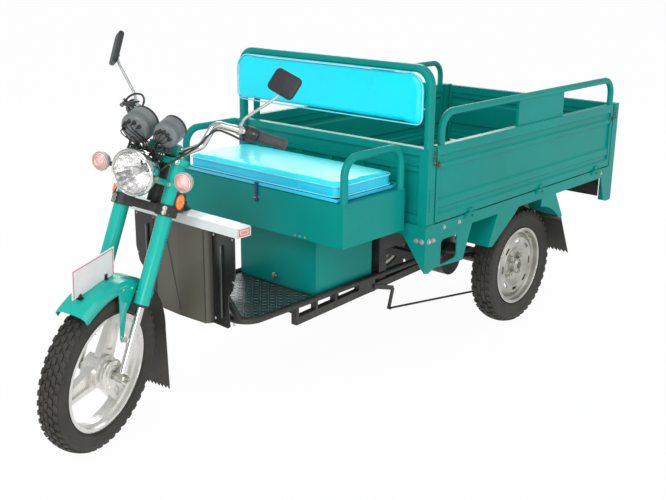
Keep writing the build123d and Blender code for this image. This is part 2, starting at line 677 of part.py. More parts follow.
WALL_RIBS = 5
WALL_Y = BED_FRONT + 28       # cargo side of the wall sheet
RAIL_D = 26.0                 # square rail along the top of the wall
LEDGE = 13.0


def bed_front_wall():
    """Front wall of the bed: pressed sheet with a top rail and a lower ledge, between the posts."""
    top = POST_TOP - 2
    wall = block(-post_in, post_in, WALL_Y - 4, WALL_Y, SILL_TOP, top - RAIL_D + 5)
    wall += block(-post_in, post_in, WALL_Y - 15, WALL_Y - 15 + RAIL_D, top - RAIL_D, top)
    for low, high in ((top - 80, top - 66), (SILL_TOP, SILL_TOP + 29)):
        wall += block(-post_in, post_in, WALL_Y - LEDGE, WALL_Y, low, high)
    pitch = 2 * post_in / (WALL_RIBS + 0.64)
    for k in range(WALL_RIBS):
        x = (k - (WALL_RIBS - 1) / 2) * pitch
        wall += block(x - 14, x + 14, WALL_Y - 10, WALL_Y, SILL_TOP + 25, top - 76)
    return wall


add("bed_front_wall", bed_front_wall())

# ---------------------------------------------------------------- back rest
back_y = BED_FRONT + BACK_TUBE_D / 2
back_x = BED_HALF - BACK_TUBE_W / 2
back_z = BACK_TOP - BACK_TUBE_W / 2


def backrest_frame():
    """Rounded tube hoop standing on the front corner posts, with two cushion rails."""
    path = FilletPolyline((back_x, back_y, POST_TOP), (back_x, back_y, back_z), (-back_x, back_y, back_z),
                          (-back_x, back_y, POST_TOP), radius=BACK_BEND - BACK_TUBE_W / 2)
    start = Plane(origin=path @ 0, x_dir=(1, 0, 0), z_dir=(0, 0, 1))
    tube = RectangleRounded(BACK_TUBE_W, BACK_TUBE_D, 9)
    hoop = sweep(start * tube, path=path)
    for z in (BACK_PAD_LOW + 32, BACK_PAD_TOP - 51):
        hoop += block(-back_x, back_x, BED_FRONT, BED_FRONT + 18, z, z + 18)
    return hoop


add("backrest_frame", backrest_frame())


def backrest_cushion():
    """Flat upholstered pad with round upper corners, in front of the hoop."""
    half = BED_HALF - BACK_PAD_SIDE
    pad_rear = BED_FRONT - FIT_GAP
    pad = block(-half, half, pad_rear - BACK_PAD_T, pad_rear, BACK_PAD_LOW, BACK_PAD_TOP)
    pad = fillet(pad.edges().filter_by(Axis.Y).sort_by(Axis.Z)[2:], 52)
    pad = fillet(pad.edges().filter_by(Axis.Y).sort_by(Axis.Z)[:2], 18)
    return fillet(pad.faces().sort_by(Axis.Y)[0].edges(), 9)


add("backrest_cushion", backrest_cushion())

# ---------------------------------------------------------------- rear fenders and flaps
ARCH_R = REAR_TYRE_R + 16.4   # inner edge of the arch lip
FENDER_IN = REAR_TRACK_HALF - 45
SHEET_T = 2.5
LIP_T = 4.0
FENDER_FRONT = (WHEELBASE - 342, 400)     # lower front edge, (y, z)
FENDER_REAR = (WHEELBASE + 203, 410)      # lower rear edge


def rear_fender():
    """Left fender: folded sheet over the wheel and an outer lip cut round the tyre."""
    top = SILL_LOW - FIT_GAP
    (y0, z0), (y1, z1) = FENDER_FRONT, FENDER_REAR
    sheet = [(y0, z0), (y0 + 49, top), (y1 - 66, top), (y1, z1), (y1 - SHEET_T, z1 - 1),
             (y1 - 67.5, top - SHEET_T), (y0 + 50.5, top - SHEET_T), (y0 + SHEET_T, z0 - 1)]
    fender = side_plate(sheet, FENDER_IN, BED_HALF - LIP_T)
    lip = side_plate([(y0, z0), (y0 + 53, SILL_LOW), (y0 + 200, SILL_LOW), (y0 + 170, z0 + 90),
                      (y0 + 28, z0 - 4)], BED_HALF - LIP_T, BED_HALF)
    rear_lip = [(y1 - 175, SILL_LOW), (y1 - 66, SILL_LOW), (y1, z1), (y1 - 33, z1 - 5), (y1 - 175, z1 + 30)]
    lip += side_plate(rear_lip, BED_HALF - LIP_T, BED_HALF)
    arch = Pos(BED_HALF, WHEELBASE, REAR_TYRE_R) * Rot(0, 90, 0) * Cylinder(ARCH_R, 40)
    return fender + (lip - arch)


def rear_mud_flap():
    """Left flap that hangs from the rear edge of its fender."""
    y, z = FENDER_REAR
    outline = [(y, z - 0.5), (y + 87, z - 174), (y + 83.5, z - 176), (y - 3.5, z - 2.5)]
    inner, outer = FENDER_IN + 24, BED_HALF - LIP_T - 1
    edge = Plane(origin=((inner + outer) / 2, y + 85, z - 175), x_dir=(1, 0, 0), z_dir=(0, -0.9, -0.44))
    return side_plate(outline, inner, outer) - notches(edge, (outer - inner) / 2)


add("rear_fenders", both(rear_fender()))
add("rear_mud_flaps", both(rear_mud_flap()))

# ---------------------------------------------------------------- rear axle, springs, brake
LEAVES = (SPRING_HALF, 240.0, 150.0)      # half length of each leaf
BOLT_R = 5.0
BOLT_Y = AXLE_R + BOLT_R + 2  # U-bolts straddle the axle tube
BOLT_END = 8.0                # thread that stands past each plate
PLATE_OVER = 9.0              # thickness of the plate over the spring
leaf_mid = REAR_TYRE_R + AXLE_R + 2.5 * LEAF_T
sag = EYE_Z - leaf_mid
leaf_r = (SPRING_HALF ** 2 + sag ** 2) / (2 * sag)


def leaf_spring():
    """Left spring: three leaves, two eyes, U-bolts and the plate under the axle."""
    hub = Pos(SPRING_X, WHEELBASE, leaf_mid + leaf_r) * Rot(0, 90, 0)
    x0, x1 = SPRING_X - SPRING_W / 2, SPRING_X + SPRING_W / 2
    spring = None
    for k, half in enumerate(LEAVES):
        mid_r = leaf_r + k * LEAF_T
        band = Cylinder(mid_r + LEAF_T / 2, SPRING_W) - Cylinder(mid_r - LEAF_T / 2, SPRING_W + 2)
        leaf = (hub * band) & block(x0, x1, WHEELBASE - half, WHEELBASE + half, leaf_mid - 60, EYE_Z + 20)
        spring = leaf if spring is None else spring + leaf
    for y in (HANGER_FRONT, HANGER_REAR):
        eye = Pos(SPRING_X, y, EYE_Z) * Rot(0, 90, 0)
        spring = spring + eye * Cylinder(EYE_R, SPRING_W) - eye * Cylinder(EYE_BORE, SPRING_W + 2)
    plate_low, plate_high = REAR_TYRE_R - AXLE_R - LEAF_T, leaf_mid + 3
    reach = BOLT_Y + BOLT_R + 4
    bolt_low, bolt_high = plate_low - BOLT_END, plate_high + PLATE_OVER + BOLT_END + 2
    for low, thick in ((plate_high, PLATE_OVER), (plate_low, LEAF_T)):
        spring += block(x0 - 6, x1 + 6, WHEELBASE - reach, WHEELBASE + reach, low, low + thick)
    for x in (x0 - 0.5, x1 + 0.5):
        for y in (WHEELBASE - BOLT_Y, WHEELBASE + BOLT_Y):
            spring += rod((x, y, bolt_low), (x, y, bolt_high), BOLT_R)
    return spring


add("leaf_springs", both(leaf_spring()))

DRUM_OUT = REAR_TRACK_HALF - 55
DRUM_IN = DRUM_OUT - 26
MOTOR_R = 66.0
MOTOR_LEN = 190.0
CASE_R = 74.0                 # differential case


def rear_axle():
    """Axle tube with differential case, electric motor ahead of it and a brake drum at each end."""
    centre = Pos(0, WHEELBASE, REAR_TYRE_R)
    tube_end = DRUM_IN + 4
    axle = centre * ring([(-tube_end, 0), (-tube_end, AXLE_R), (-80, AXLE_R), (-64, CASE_R),
                          (28, CASE_R), (48, AXLE_R), (tube_end, AXLE_R), (tube_end, 0)])
    motor_y = WHEELBASE - CASE_R - 54
    motor = Pos(48, motor_y, REAR_TYRE_R + 6) * Rot(0, 90, 0) * Cylinder(MOTOR_R, MOTOR_LEN)
    gearcase = block(-58, 18, motor_y - 22, WHEELBASE, REAR_TYRE_R - 52, REAR_TYRE_R + 52)
    axle = fused(axle, [motor, gearcase])
    end = REAR_TRACK_HALF - HUB_IN - FIT_GAP
    drum = centre * ring([(DRUM_IN, 0), (DRUM_IN, DRUM_R), (DRUM_OUT, DRUM_R), (DRUM_OUT, 28), (end, 24),
                          (end, 0)])
    return axle + drum + mirrored(drum)


add("rear_axle", rear_axle())


LEVER_X = DRUM_IN - 5
CRANK_X = RAIL_OUT + 0.5
BAR_T = 6.0                   # thickness of the crank's flat bar
CRANK = [(MAIN_FRONT - 39, 286), (MAIN_FRONT + 71, 253), (MAIN_FRONT + 49, 178)]
LEVER_FOOT = (WHEELBASE - 50, 122)
HEAD_REACH = AXLE_R + 2       # the lever's head ends just clear of the axle tube
LEVER_HEAD = (WHEELBASE - HEAD_REACH * math.sin(math.radians(30)),
              REAR_TYRE_R - HEAD_REACH * math.cos(math.radians(30)))
PEDAL_X = -122.0
PEDAL_Y = 486.0


def brake_pedal():
    """Foot pedal on its pivot block at the front right of the footboard."""
    arm = flat_bar((PEDAL_Y, DECK_TOP + 3), (PEDAL_Y - 18, DECK_TOP + 63), 18, PEDAL_X - 4, PEDAL_X + 4)
    arm += block(PEDAL_X - 38, PEDAL_X + 38, PEDAL_Y - 45, PEDAL_Y, DECK_TOP + 59, DECK_TOP + 69)
    arm += rod((PEDAL_X, PEDAL_Y, DECK_TOP + 7), (PEDAL_X - 28, PEDAL_Y, DECK_TOP + 7), 7)
    return arm + block(PEDAL_X - 32, PEDAL_X - 18, PEDAL_Y - 12, PEDAL_Y + 12, DECK_TOP, DECK_TOP + 14)


def brake_linkage():
    """Bell crank, pull rod and lever to the left drum, with the pedal on the footboard."""
    pivot, knee, tail = CRANK
    crank = flat_bar(pivot, knee, 16, CRANK_X, CRANK_X + BAR_T)
    crank += flat_bar(knee, tail, 14, CRANK_X, CRANK_X + BAR_T)
    pull = rod((CRANK_X + 8, tail[0], tail[1] + 3), (LEVER_X + 11, *LEVER_FOOT), 4)
    pull += rod((CRANK_X - 1, tail[0], tail[1] + 3), (CRANK_X + 13, tail[0], tail[1] + 3), 5)
    lever = flat_bar((LEVER_FOOT[0], LEVER_FOOT[1] - 6), LEVER_HEAD, 18, LEVER_X, LEVER_X + 5)
    lever += rod((LEVER_X, *LEVER_FOOT), (LEVER_X + 18, *LEVER_FOOT), 6)
    return Compound(children=[crank + pull + lever, brake_pedal()])


add("brake_linkage", brake_linkage())
board_half, board_low = BED_HALF - 47, SILL_LOW - 101
add("rear_lamp_board", block(-board_half, board_half, BED_REAR - 31, BED_REAR - 27, board_low, SILL_LOW))

# ---------------------------------------------------------------- fork and steering
def clamp_shape(low, thick, leg_boss, stem_boss):
    """A bridge between the two fork tubes and the stem."""
    edge = leg_boss - 8
    middle = low + thick / 2
    legs = [Pos(side * FORK_HALF, -FORK_OFFSET, middle) * Cylinder(leg_boss, thick) for side in (-1, 1)]
    stem = Pos(0, 0, middle) * Cylinder(stem_boss, thick)
    web = extrude(Pos(0, 0, low) * make_face(Polyline(
        (-FORK_HALF, -FORK_OFFSET - edge, 0), (FORK_HALF, -FORK_OFFSET - edge, 0),
        (FORK_HALF, -FORK_OFFSET + edge, 0), (stem_boss - 2, stem_boss - 14, 0),
        (-stem_boss + 2, stem_boss - 14, 0), (-FORK_HALF, -FORK_OFFSET + edge, 0), close=True)),
        amount=thick, dir=(0, 0, 1))
    return fused(web, legs + [stem])


def leg_bores(radius):
    """Cutters for the two fork tubes."""
    bore = Pos(0, -FORK_OFFSET, FORK_TOP / 2) * Cylinder(radius, 2 * FORK_TOP)
    return [Pos(side * FORK_HALF, 0, 0) * bore for side in (-1, 1)]


def steering_stem():
    """Lower clamp with the stem that turns in the head tube."""
    clamp = clamp_shape(CLAMP_LOW, CLAMP_THICK, FORK_TUBE_R + 8, HEAD_R + 4)
    for cut in leg_bores(FORK_TUBE_R):
        clamp -= cut
    stem = Pos(0, 0, (CLAMP_LOW + YOKE_LOW) / 2) * Cylinder(STEM_R, YOKE_LOW - CLAMP_LOW)
    return clamp + stem


RISER_X = 38.0
RISER_HALF = 11.0
BAR_R = 11.0
BAR_Y = -19.0
BAR_RISE = YOKE_LOW + 42      # middle of the handlebar


def top_yoke():
    """Upper clamp with the stem nut and the two handlebar risers."""
    yoke = clamp_shape(YOKE_LOW, YOKE_THICK, FORK_TUBE_R + 6, HEAD_R + 2)
    for cut in leg_bores(FORK_TUBE_R):
        yoke -= cut
    yoke += Pos(0, 8, YOKE_LOW + YOKE_THICK) * extrude(RegularPolygon(15, 6), amount=9)
    for side in (-1, 1):
        x = side * RISER_X
        yoke += block(x - RISER_HALF, x + RISER_HALF, BAR_Y - 17, BAR_Y + 17, YOKE_LOW + YOKE_THICK - 2,
                      BAR_RISE + 16)
    return yoke - rod((-80, BAR_Y, BAR_RISE), (80, BAR_Y, BAR_RISE), BAR_R + CLAMP_GAP)


def fork_tube():
    """Left upper fork tube with its cap."""
    tube = rod((FORK_HALF, -FORK_OFFSET, FORK_SPLIT), (FORK_HALF, -FORK_OFFSET, FORK_TOP), FORK_TUBE_R)
    return chamfer(tube.faces().sort_by(Axis.Z)[-1].edges(), 3)


LUG_HALF = FORK_LEG_R + 0.5   # half width of the axle lug
LUG_R = 17.0
STRAP_T = 2.5
STRAP_FOOT = 108.0            # height of the fender strap's bolt on the leg


def fork_leg():
    """Left lower leg with its axle lug and the fender lug."""
    leg = Pos(FORK_HALF, -FORK_OFFSET, (FORK_SPLIT - 4) / 2) * Cylinder(FORK_LEG_R, FORK_SPLIT + 4)
    leg += Pos(FORK_HALF, -FORK_OFFSET, 0) * Rot(0, 90, 0) * Cylinder(LUG_R, 2 * LUG_HALF)
    leg += block(FENDER_HALF + STRAP_T + FIT_GAP, FORK_HALF - 5, -FORK_OFFSET - 14, -FORK_OFFSET + 2,
                 STRAP_FOOT - 6, STRAP_FOOT + 8)
    leg -= Pos(FORK_HALF, -FORK_OFFSET, 0) * Rot(0, 90, 0) * Cylinder(FRONT_AXLE_R + CLAMP_GAP, 40)
    return leg


def front_axle():
    """Axle bolt with a spacer each side of the hub and its nuts."""
    inner = FRONT_HUB_HALF + FIT_GAP
    lug_in, lug_out = FORK_HALF - LUG_HALF, FORK_HALF + LUG_HALF
    axle = ring([(-lug_out - 14, 0), (-lug_out - 14, FRONT_AXLE_R), (-lug_in, FRONT_AXLE_R), (-lug_in, 13),
                 (-inner, 13), (-inner, FRONT_AXLE_R), (inner, FRONT_AXLE_R), (inner, 13), (lug_in, 13),
                 (lug_in, FRONT_AXLE_R), (lug_out + 14, FRONT_AXLE_R), (lug_out + 14, 0)])
    for side in (-1, 1):
        x = side * lug_out
        nut = Rot(0, 90, 0) * extrude(RegularPolygon(12, 6), amount=9)
        axle += Pos(x if side > 0 else x - 9, 0, 0) * nut
    return WHEEL_IN_FORK * axle


FENDER_R = FRONT_TYRE_R + 42.6
FENDER_HALF = 50.0
FENDER_T = 2.5
FENDER_NOSE = 35.0            # degrees up from straight ahead of the axle
FENDER_END = 112.0
FLAP_HALF = 46.0
FLAP_T = 4.0
STRAP = [(-FORK_OFFSET - 100, FENDER_R - 28), (-FORK_OFFSET - 14, FENDER_R - 14),
         (-FORK_OFFSET - 16, FENDER_R - 45), (-FORK_OFFSET - 29, FENDER_R - 100),
         (-FORK_OFFSET - 6, STRAP_FOOT + 4), (-FORK_OFFSET - 4, STRAP_FOOT - 8),
         (-FORK_OFFSET - 14, STRAP_FOOT - 9), (-FORK_OFFSET - 23, STRAP_FOOT + 2),
         (-FORK_OFFSET - 66, FENDER_R - 100),
         (-FORK_OFFSET - 96, FENDER_R - 50)]      # outline of each strap, (y, z) on the fork


def front_fender():
    """Pressed fender over the front wheel with two straps down to the legs."""
    skirt, flat, corner = 34, 20, 9
    left_half = [(FENDER_HALF, FENDER_R - skirt), (FENDER_HALF, FENDER_R - 16),
                 (FENDER_HALF - corner, FENDER_R - 5), (flat, FENDER_R)]
    outer = [(-x, r) for x, r in left_half] + left_half[::-1]
    shrink = (FENDER_HALF - FENDER_T) / FENDER_HALF
    inner = [(x * shrink, max(r - FENDER_T, FENDER_R - skirt)) for x, r in reversed(outer)]
    arc = FENDER_END - FENDER_NOSE
    shell = Rot(180 - FENDER_END, 0, 0) * ring(outer + inner, arc)
    shell = WHEEL_IN_FORK * shell
    for side in (-1, 1):
        x = side * FENDER_HALF
        strap = side_plate(STRAP, min(x, x + side * STRAP_T), max(x, x + side * STRAP_T))
        shell += strap & WHEEL_IN_FORK * Rot(0, 90, 0) * Cylinder(FENDER_R - 16, 4 * FENDER_HALF)
    return shell


def front_mud_flap():
    """Rubber flap riveted under the end of the fender, then straight down behind the wheel."""
    top_r = FENDER_R - 5 - FENDER_T - FIT_GAP
    start = FENDER_END + math.degrees(FIT_GAP / FENDER_R)
    bend = 150.0

    def band(half):
        return [(-half, top_r - FLAP_T), (-half, top_r), (half, top_r), (half, top_r - FLAP_T)]
    upper = Rot(180 - bend, 0, 0) * ring(band(FLAP_HALF), bend - start)
    upper += Rot(180 - start - 1, 0, 0) * ring(band(FENDER_HALF - 13), 7)
    a = math.radians(bend)
    mid_r = top_r - FLAP_T / 2
    top = (-mid_r * math.cos(a), mid_r * math.sin(a))
    length = 246.0
    foot = (top[0] + length * 0.565, top[1] - length * 0.825)
    lower = flat_bar((top[0] - 2, top[1] + 3), foot, FLAP_T, -FLAP_HALF, FLAP_HALF)
    slant = Vector(0, foot[0] - top[0], foot[1] - top[1]).normalized()
    edge = Plane(origin=(0, *foot), x_dir=(1, 0, 0), z_dir=slant.cross(Vector(1, 0, 0)))
    return WHEEL_IN_FORK * (upper + lower - notches(edge, FLAP_HALF))


PLATE = [(-275, 279), (-106, 366), (-66, 288), (-235, 203)]      # corners about the axle, (y, z)
PLATE_T = 3.0


def number_plate():
    """Blank plate standing lengthwise along the top of the fender."""
    plate = side_plate(PLATE, -PLATE_T / 2, PLATE_T / 2)
    plate -= Rot(0, 90, 0) * Cylinder(FENDER_R + FIT_GAP, 20)
    return WHEEL_IN_FORK * plate


def facing_ahead(x, y, z):
    """A frame on the fork whose Z points straight ahead and level."""
    return Plane(origin=(x, y, z), x_dir=(1, 0, 0), z_dir=LEVEL_AHEAD).location


LAMP_R = 67.0
LAMP_AT = (0, -157, 583)      # middle of the lens rim
EAR_Z = 577.0


def headlight():
    """Round lamp: bowl, bezel and domed lens, on two ears from the fork tubes."""
    outline = [(0, -92), (26, -86), (48, -66), (62, -36), (LAMP_R - 1, -6), (LAMP_R + 3, -4), (LAMP_R + 3, 8),
               (LAMP_R - 5, 12), (50, 19), (28, 24), (0, 26)]
    profile = make_face(Polyline(*[(r, 0, z) for r, z in outline], close=True))
    lamp = facing_ahead(*LAMP_AT) * revolve(profile, axis=Axis.Z)
    ears = []
    for side in (-1, 1):
        ears.append(rod((side * (FORK_HALF - 5), -FORK_OFFSET - FORK_TUBE_R + 3, EAR_Z),
                        (side * (LAMP_R - 6), LAMP_AT[1] + 11, EAR_Z + 4), 6))
        ears.append(Pos(side * FORK_HALF, -FORK_OFFSET, EAR_Z) * Cylinder(FORK_TUBE_R + 3, 16))
    lamp = fused(lamp, ears)
    for cut in leg_bores(FORK_TUBE_R):
        lamp -= cut
    return lamp


SIGNAL_R = 29.0


def turn_signal():
    """Left turn signal: housing and lens on a rubber stalk."""
    outline = [(0, -26), (16, -24), (26, -12), (SIGNAL_R, 2), (SIGNAL_R - 1, 6), (20, 15), (10, 19), (0, 20)]
    profile = make_face(Polyline(*[(r, 0, z) for r, z in outline], close=True))
    x, y, z = FORK_HALF + 65, -FORK_OFFSET - 63, EAR_Z + 16
    lamp = facing_ahead(x, y, z) * revolve(profile, axis=Axis.Z)
    stalk = rod((FORK_HALF + 17, -FORK_OFFSET - 16, z), (x - 10, y + 9, z), 7)
    return lamp + stalk


GAUGE_R = {1: 39.0, -1: 47.0}            # the right instrument is the larger one
GAUGE_X = 50.0
GAUGE_Y = -108.0
BRACKET_Z = FORK_TOP + 3
BRACKET_LAP = 3.0             # the bracket's feet reach this far over the fork tubes


def gauges():
    """Two round instruments on a bracket from the yoke."""
    foot_x = FORK_HALF - FORK_TUBE_R + BRACKET_LAP
    cluster = block(-GAUGE_X - 10, GAUGE_X + 10, GAUGE_Y - 4, -60, BRACKET_Z, BRACKET_Z + 4)
    for side in (-1, 1):
        x, r = side * GAUGE_X, GAUGE_R[side]
        face = Plane(origin=(x, GAUGE_Y, BRACKET_Z + 62), x_dir=(1, 0, 0), z_dir=(0, 0.47, 0.88)).location
        outline = [(0, -36), (r - 10, -34), (r - 3, -30), (r, -20),
                   (r, 32), (r - 4, 32), (r - 6, 28), (0, 28)]
        profile = make_face(Polyline(*[(r, 0, z) for r, z in outline], close=True))
        cluster += face * revolve(profile, axis=Axis.Z)
        cluster += rod((x, GAUGE_Y + 10, BRACKET_Z + 1), (x, GAUGE_Y + 10, BRACKET_Z + 40), 8)
        cluster += block(x - side * 20, side * foot_x, -66, -38, FORK_TOP, FORK_TOP + 6)
    return cluster


HALF_BAR = [(62, BAR_Y, BAR_RISE), (113, BAR_Y + 2, BAR_RISE + 33), (130, BAR_Y + 13, BAR_RISE + 106),
            (190, BAR_Y + 77, BAR_RISE + 110), (276, BAR_Y + 199, BAR_RISE + 112)]
SHOULDER, ELBOW, TIP = HALF_BAR[2:]
BAR_BEND = 26.0
PERCH_AT = 26.0               # the brake perch clamps the bar this far before the elbow
LEVER_OUT = 36.0
LEVER_LEN = 116.0
LEVER_R = 5.0
PERCH_R = 8.0


def handlebar():
    """Chromed bar with the front brake's perch and lever on the right."""
    points = [(-x, y, z) for x, y, z in reversed(HALF_BAR)] + HALF_BAR
    bar_tube = bent_tube(points, BAR_BEND, BAR_R)
    elbow, shoulder, tip = [Vector(-x, y, z) for x, y, z in (ELBOW, SHOULDER, TIP)]
    perch = elbow + (shoulder - elbow).normalized() * PERCH_AT
    along = (tip - elbow).normalized()
    outward = Vector(-along.Y, along.X, 0)
    knee = perch + outward * LEVER_OUT + along * 14
    bar_tube += rod(tuple(perch + outward * 6), tuple(knee), PERCH_R)
    bar_tube += rod(tuple(knee), tuple(knee + along * LEVER_LEN), LEVER_R)
    return bar_tube


GRIP_R = 16.5
SWITCH_R = 22.0


def grip():
    """Left grip with the switch housing inboard of it."""
    elbow = Vector(*ELBOW)
    run = Vector(*TIP) - elbow

    def along(share):
        point = elbow + run * share
        return point.X, point.Y, point.Z
    rubber = rod(along(0.32), along(1.03), GRIP_R) + rod(along(0.05), along(0.32), SWITCH_R)
    return rubber - rod(along(0), along(1), BAR_R + CLAMP_GAP)


MIRROR_T = 16.0
MIRROR_W = 104.0
MIRROR_H = 72.0
MIRROR_CORNER = 16.0
MIRROR_STEM_R = 5.0
COLLAR_R = 15.0
COLLAR_AT = 9.0               # middle of the mirror collar, this far before the elbow


def mirror_arm(face_along, face_out):
    """Left mirror: collar on the bar, bent stem and rounded housing that faces as asked."""
    x, y, z = ELBOW
    to_shoulder = (Vector(*SHOULDER) - Vector(*ELBOW)).normalized()
    collar = Vector(*ELBOW) + to_shoulder * COLLAR_AT
    stem = bent_tube([(collar.X, collar.Y, z + 8), (x + 2, y - 12, z + 34), (x + 84, y - 14, z + 116),
                      (x + 98, y - 18, z + 142)], 12, MIRROR_STEM_R)
    stem += rod(tuple(collar - to_shoulder * 6), tuple(collar + to_shoulder * 6), COLLAR_R)
    face = Plane(origin=(x + 102, y - 20, z + 160), x_dir=face_along, z_dir=face_out)
    shell = extrude(RectangleRounded(MIRROR_W, MIRROR_H, MIRROR_CORNER), amount=MIRROR_T)
    return stem + face.location * (Pos(0, 0, -MIRROR_T / 2) * shell)


def mirrors():
    """The left mirror faces back; the right one is folded inward and shows its edge from the front left."""
    left = mirror_arm((0.93, -0.25, -0.28), (0.22, 0.97, -0.12))
    right = mirrored(mirror_arm((0.1, 0.15, 0.98), (-0.86, 0.51, 0)))
    return Compound(children=[left - handlebar(), right - handlebar()])


LEAD_R = 3.2
GAUGE_LEAD_R = 2.6
SWITCH_LEAD = [(203, 76, 773), (195, 58, 762), (172, 22, 768), (146, -12, 770), (130, -28, 748),
               (117, -38, 712), (102, -54, 686), (86, -78, 660), (72, -98, 636), (44, -102, 602)]
GAUGE_LEAD = [(46, -116, 700), (46, -118, 664), (40, -112, 642), (28, -98, 622)]
BRAKE_LEAD = [(-206, 28, 788), (-200, 26, 806), (-176, 20, 822), (-146, 14, 824), (-118, -8, 806),
              (-104, -38, 766), (-100, -50, 726), (-94, -62, 690), (-84, -84, 652), (-70, -96, 618),
              (-48, -100, 596)]


def lead(points, radius):
    """A flexible lead: straight runs joined by arcs as large as the runs allow."""
    corners = [Vector(*point) for point in points]
    radii = []
    for a, b, c in zip(corners, corners[1:], corners[2:]):
        half_turn = math.radians((b - a).get_angle(c - b)) / 2
        radii.append(0.45 * min((b - a).length, (c - b).length) / math.tan(half_turn))
    path = FilletPolyline(*points, radius=radii)
    tube = sweep(Plane(origin=path @ 0, z_dir=path % 0) * Circle(radius), path=path)
    print("lead radii", [round(r) for r in radii], "volume ratio",
          round(tube.volume / (math.pi * radius ** 2 * path.length), 4))
    return tube


def control_leads(ends):
    """Leads from the left switches, the gauges and the brake lever into the back of the headlight bowl."""
    gauge_lead = lead(GAUGE_LEAD, GAUGE_LEAD_R)
    leads = []
    for tube in (lead(SWITCH_LEAD, LEAD_R), lead(BRAKE_LEAD, LEAD_R), gauge_lead, mirrored(gauge_lead)):
        for end in ends:
            tube -= end
        leads.append(tube)
    return Compound(children=leads)


add("steering_stem", on_fork(steering_stem()))
add("top_yoke", on_fork(top_yoke()))
add("fork_tubes", on_fork(both(fork_tube())))
add("fork_legs", on_fork(both(fork_leg())))
add("front_axle", on_fork(front_axle()))
add("front_fender", on_fork(front_fender()))
add("front_mud_flap", on_fork(front_mud_flap()))
add("number_plate", on_fork(number_plate()))
add("headlight", on_fork(headlight()))
add("turn_signals", on_fork(both(turn_signal())))
add("gauges", on_fork(gauges()))
add("handlebar", on_fork(handlebar()))
add("grips", on_fork(both(grip())))
add("mirrors", on_fork(mirrors()))
add("control_cables", on_fork(control_leads([headlight(), gauges(), grip(), handlebar()])))

# ---------------------------------------------------------------- move to the middle and write
low_y = min(shape.bounding_box().min.Y for shape in parts.values())
high_y = max(shape.bounding_box().max.Y for shape in parts.values())
ORIGIN_Y = round((low_y + high_y) / 2, 1)
CENTRE = Pos(0, -ORIGIN_Y, 0)

for name, shape in parts.items():
    moved = CENTRE * shape
    export_step(moved, f"parts/{name}.step")
    print(f"{name}: {len(moved.solids())} solid(s), {moved.volume / 1000:.0f} cm3")
print(f"length {high_y - low_y:.1f}, origin at Y {ORIGIN_Y}")
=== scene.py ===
# %% [markdown]
# # Electric cargo tricycle
# A bench seat over a battery box, an open cargo bed with drop sides, and a front wheel on a telescopic
# fork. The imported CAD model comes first, as a fixed frame. Everything made here is placed from its boxes
# and joints, so a piece lands where the CAD says, and rides on the body that it belongs to.

# %% Load the frame
import json
import math
import random

import bpy
from mathutils import Matrix, Vector


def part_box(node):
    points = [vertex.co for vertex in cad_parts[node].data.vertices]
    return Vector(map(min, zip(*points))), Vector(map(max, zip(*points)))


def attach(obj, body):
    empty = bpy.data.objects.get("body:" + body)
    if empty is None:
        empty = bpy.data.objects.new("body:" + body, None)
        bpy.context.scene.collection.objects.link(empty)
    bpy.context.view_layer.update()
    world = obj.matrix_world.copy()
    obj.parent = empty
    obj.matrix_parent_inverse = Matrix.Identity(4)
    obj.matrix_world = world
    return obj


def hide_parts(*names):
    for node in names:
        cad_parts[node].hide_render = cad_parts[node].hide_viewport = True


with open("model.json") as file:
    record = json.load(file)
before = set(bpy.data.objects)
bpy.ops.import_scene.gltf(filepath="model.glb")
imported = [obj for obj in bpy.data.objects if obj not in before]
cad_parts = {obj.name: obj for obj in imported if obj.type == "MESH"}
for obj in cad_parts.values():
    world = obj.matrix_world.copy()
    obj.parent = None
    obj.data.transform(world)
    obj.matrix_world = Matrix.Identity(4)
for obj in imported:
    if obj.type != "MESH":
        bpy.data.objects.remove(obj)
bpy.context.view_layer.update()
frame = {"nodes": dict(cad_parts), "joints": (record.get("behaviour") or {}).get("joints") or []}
nodes = frame["nodes"]
joints = {joint["name"]: joint for joint in frame["joints"]}
MM = 0.001

# %% [markdown]
# The camera stands ahead of the front wheel and to the vehicle's left, a little above the seat. Yaw,
# pitch and roll are turned into three unit vectors, which is easier to check than Euler angles.

# %% Camera
CAMERA_AT = Vector((2.2502, -2.5845, 1.4333))
YAW, PITCH, ROLL = (math.radians(angle) for angle in (-41.36, -17.22, 0.58))
LENS_MM, SENSOR_MM = 52.49, 36.0
SHIFT_X, SHIFT_Y = 0.0021, -0.0012

ahead = Vector((math.sin(YAW) * math.cos(PITCH), math.cos(YAW) * math.cos(PITCH), math.sin(PITCH)))
level = ahead.cross(Vector((0, 0, 1))).normalized()
above = level.cross(ahead)
right = math.cos(ROLL) * level + math.sin(ROLL) * above
up = math.cos(ROLL) * above - math.sin(ROLL) * level
camera = bpy.data.objects.new("camera", bpy.data.cameras.new("camera"))
camera.data.lens, camera.data.sensor_width = LENS_MM, SENSOR_MM
camera.data.shift_x, camera.data.shift_y = SHIFT_X, SHIFT_Y
camera.matrix_world = Matrix.Translation(CAMERA_AT) @ Matrix((right, up, -ahead)).transposed().to_4x4()
bpy.context.scene.collection.objects.link(camera)
bpy.context.scene.camera = camera
print("camera at", tuple(CAMERA_AT), "lens", LENS_MM)

# %% [markdown]
# A pale floor and a white sky make the studio. Four big soft lamps light the object at a plain level. The
# sky is pure white for the camera and through glass only, so that the paint keeps its own colour. The
# floor is also white in the mirrors.

# %% Floor and sky
bpy.context.scene.view_settings.view_transform = "Standard"
FLOOR_SIZE, FLOOR_GREY, FLOOR_ROUGH = 60, 0.9, 0.9
JUST_BELOW_WHEELS = -0.0005
FLOOR_WHITE_SHARE, SKY_WHITE_SHARE = 0.965, 1.0
SKY_COLOUR, SKY_STRENGTH = (0.93, 0.97, 1.0, 1), 0.62


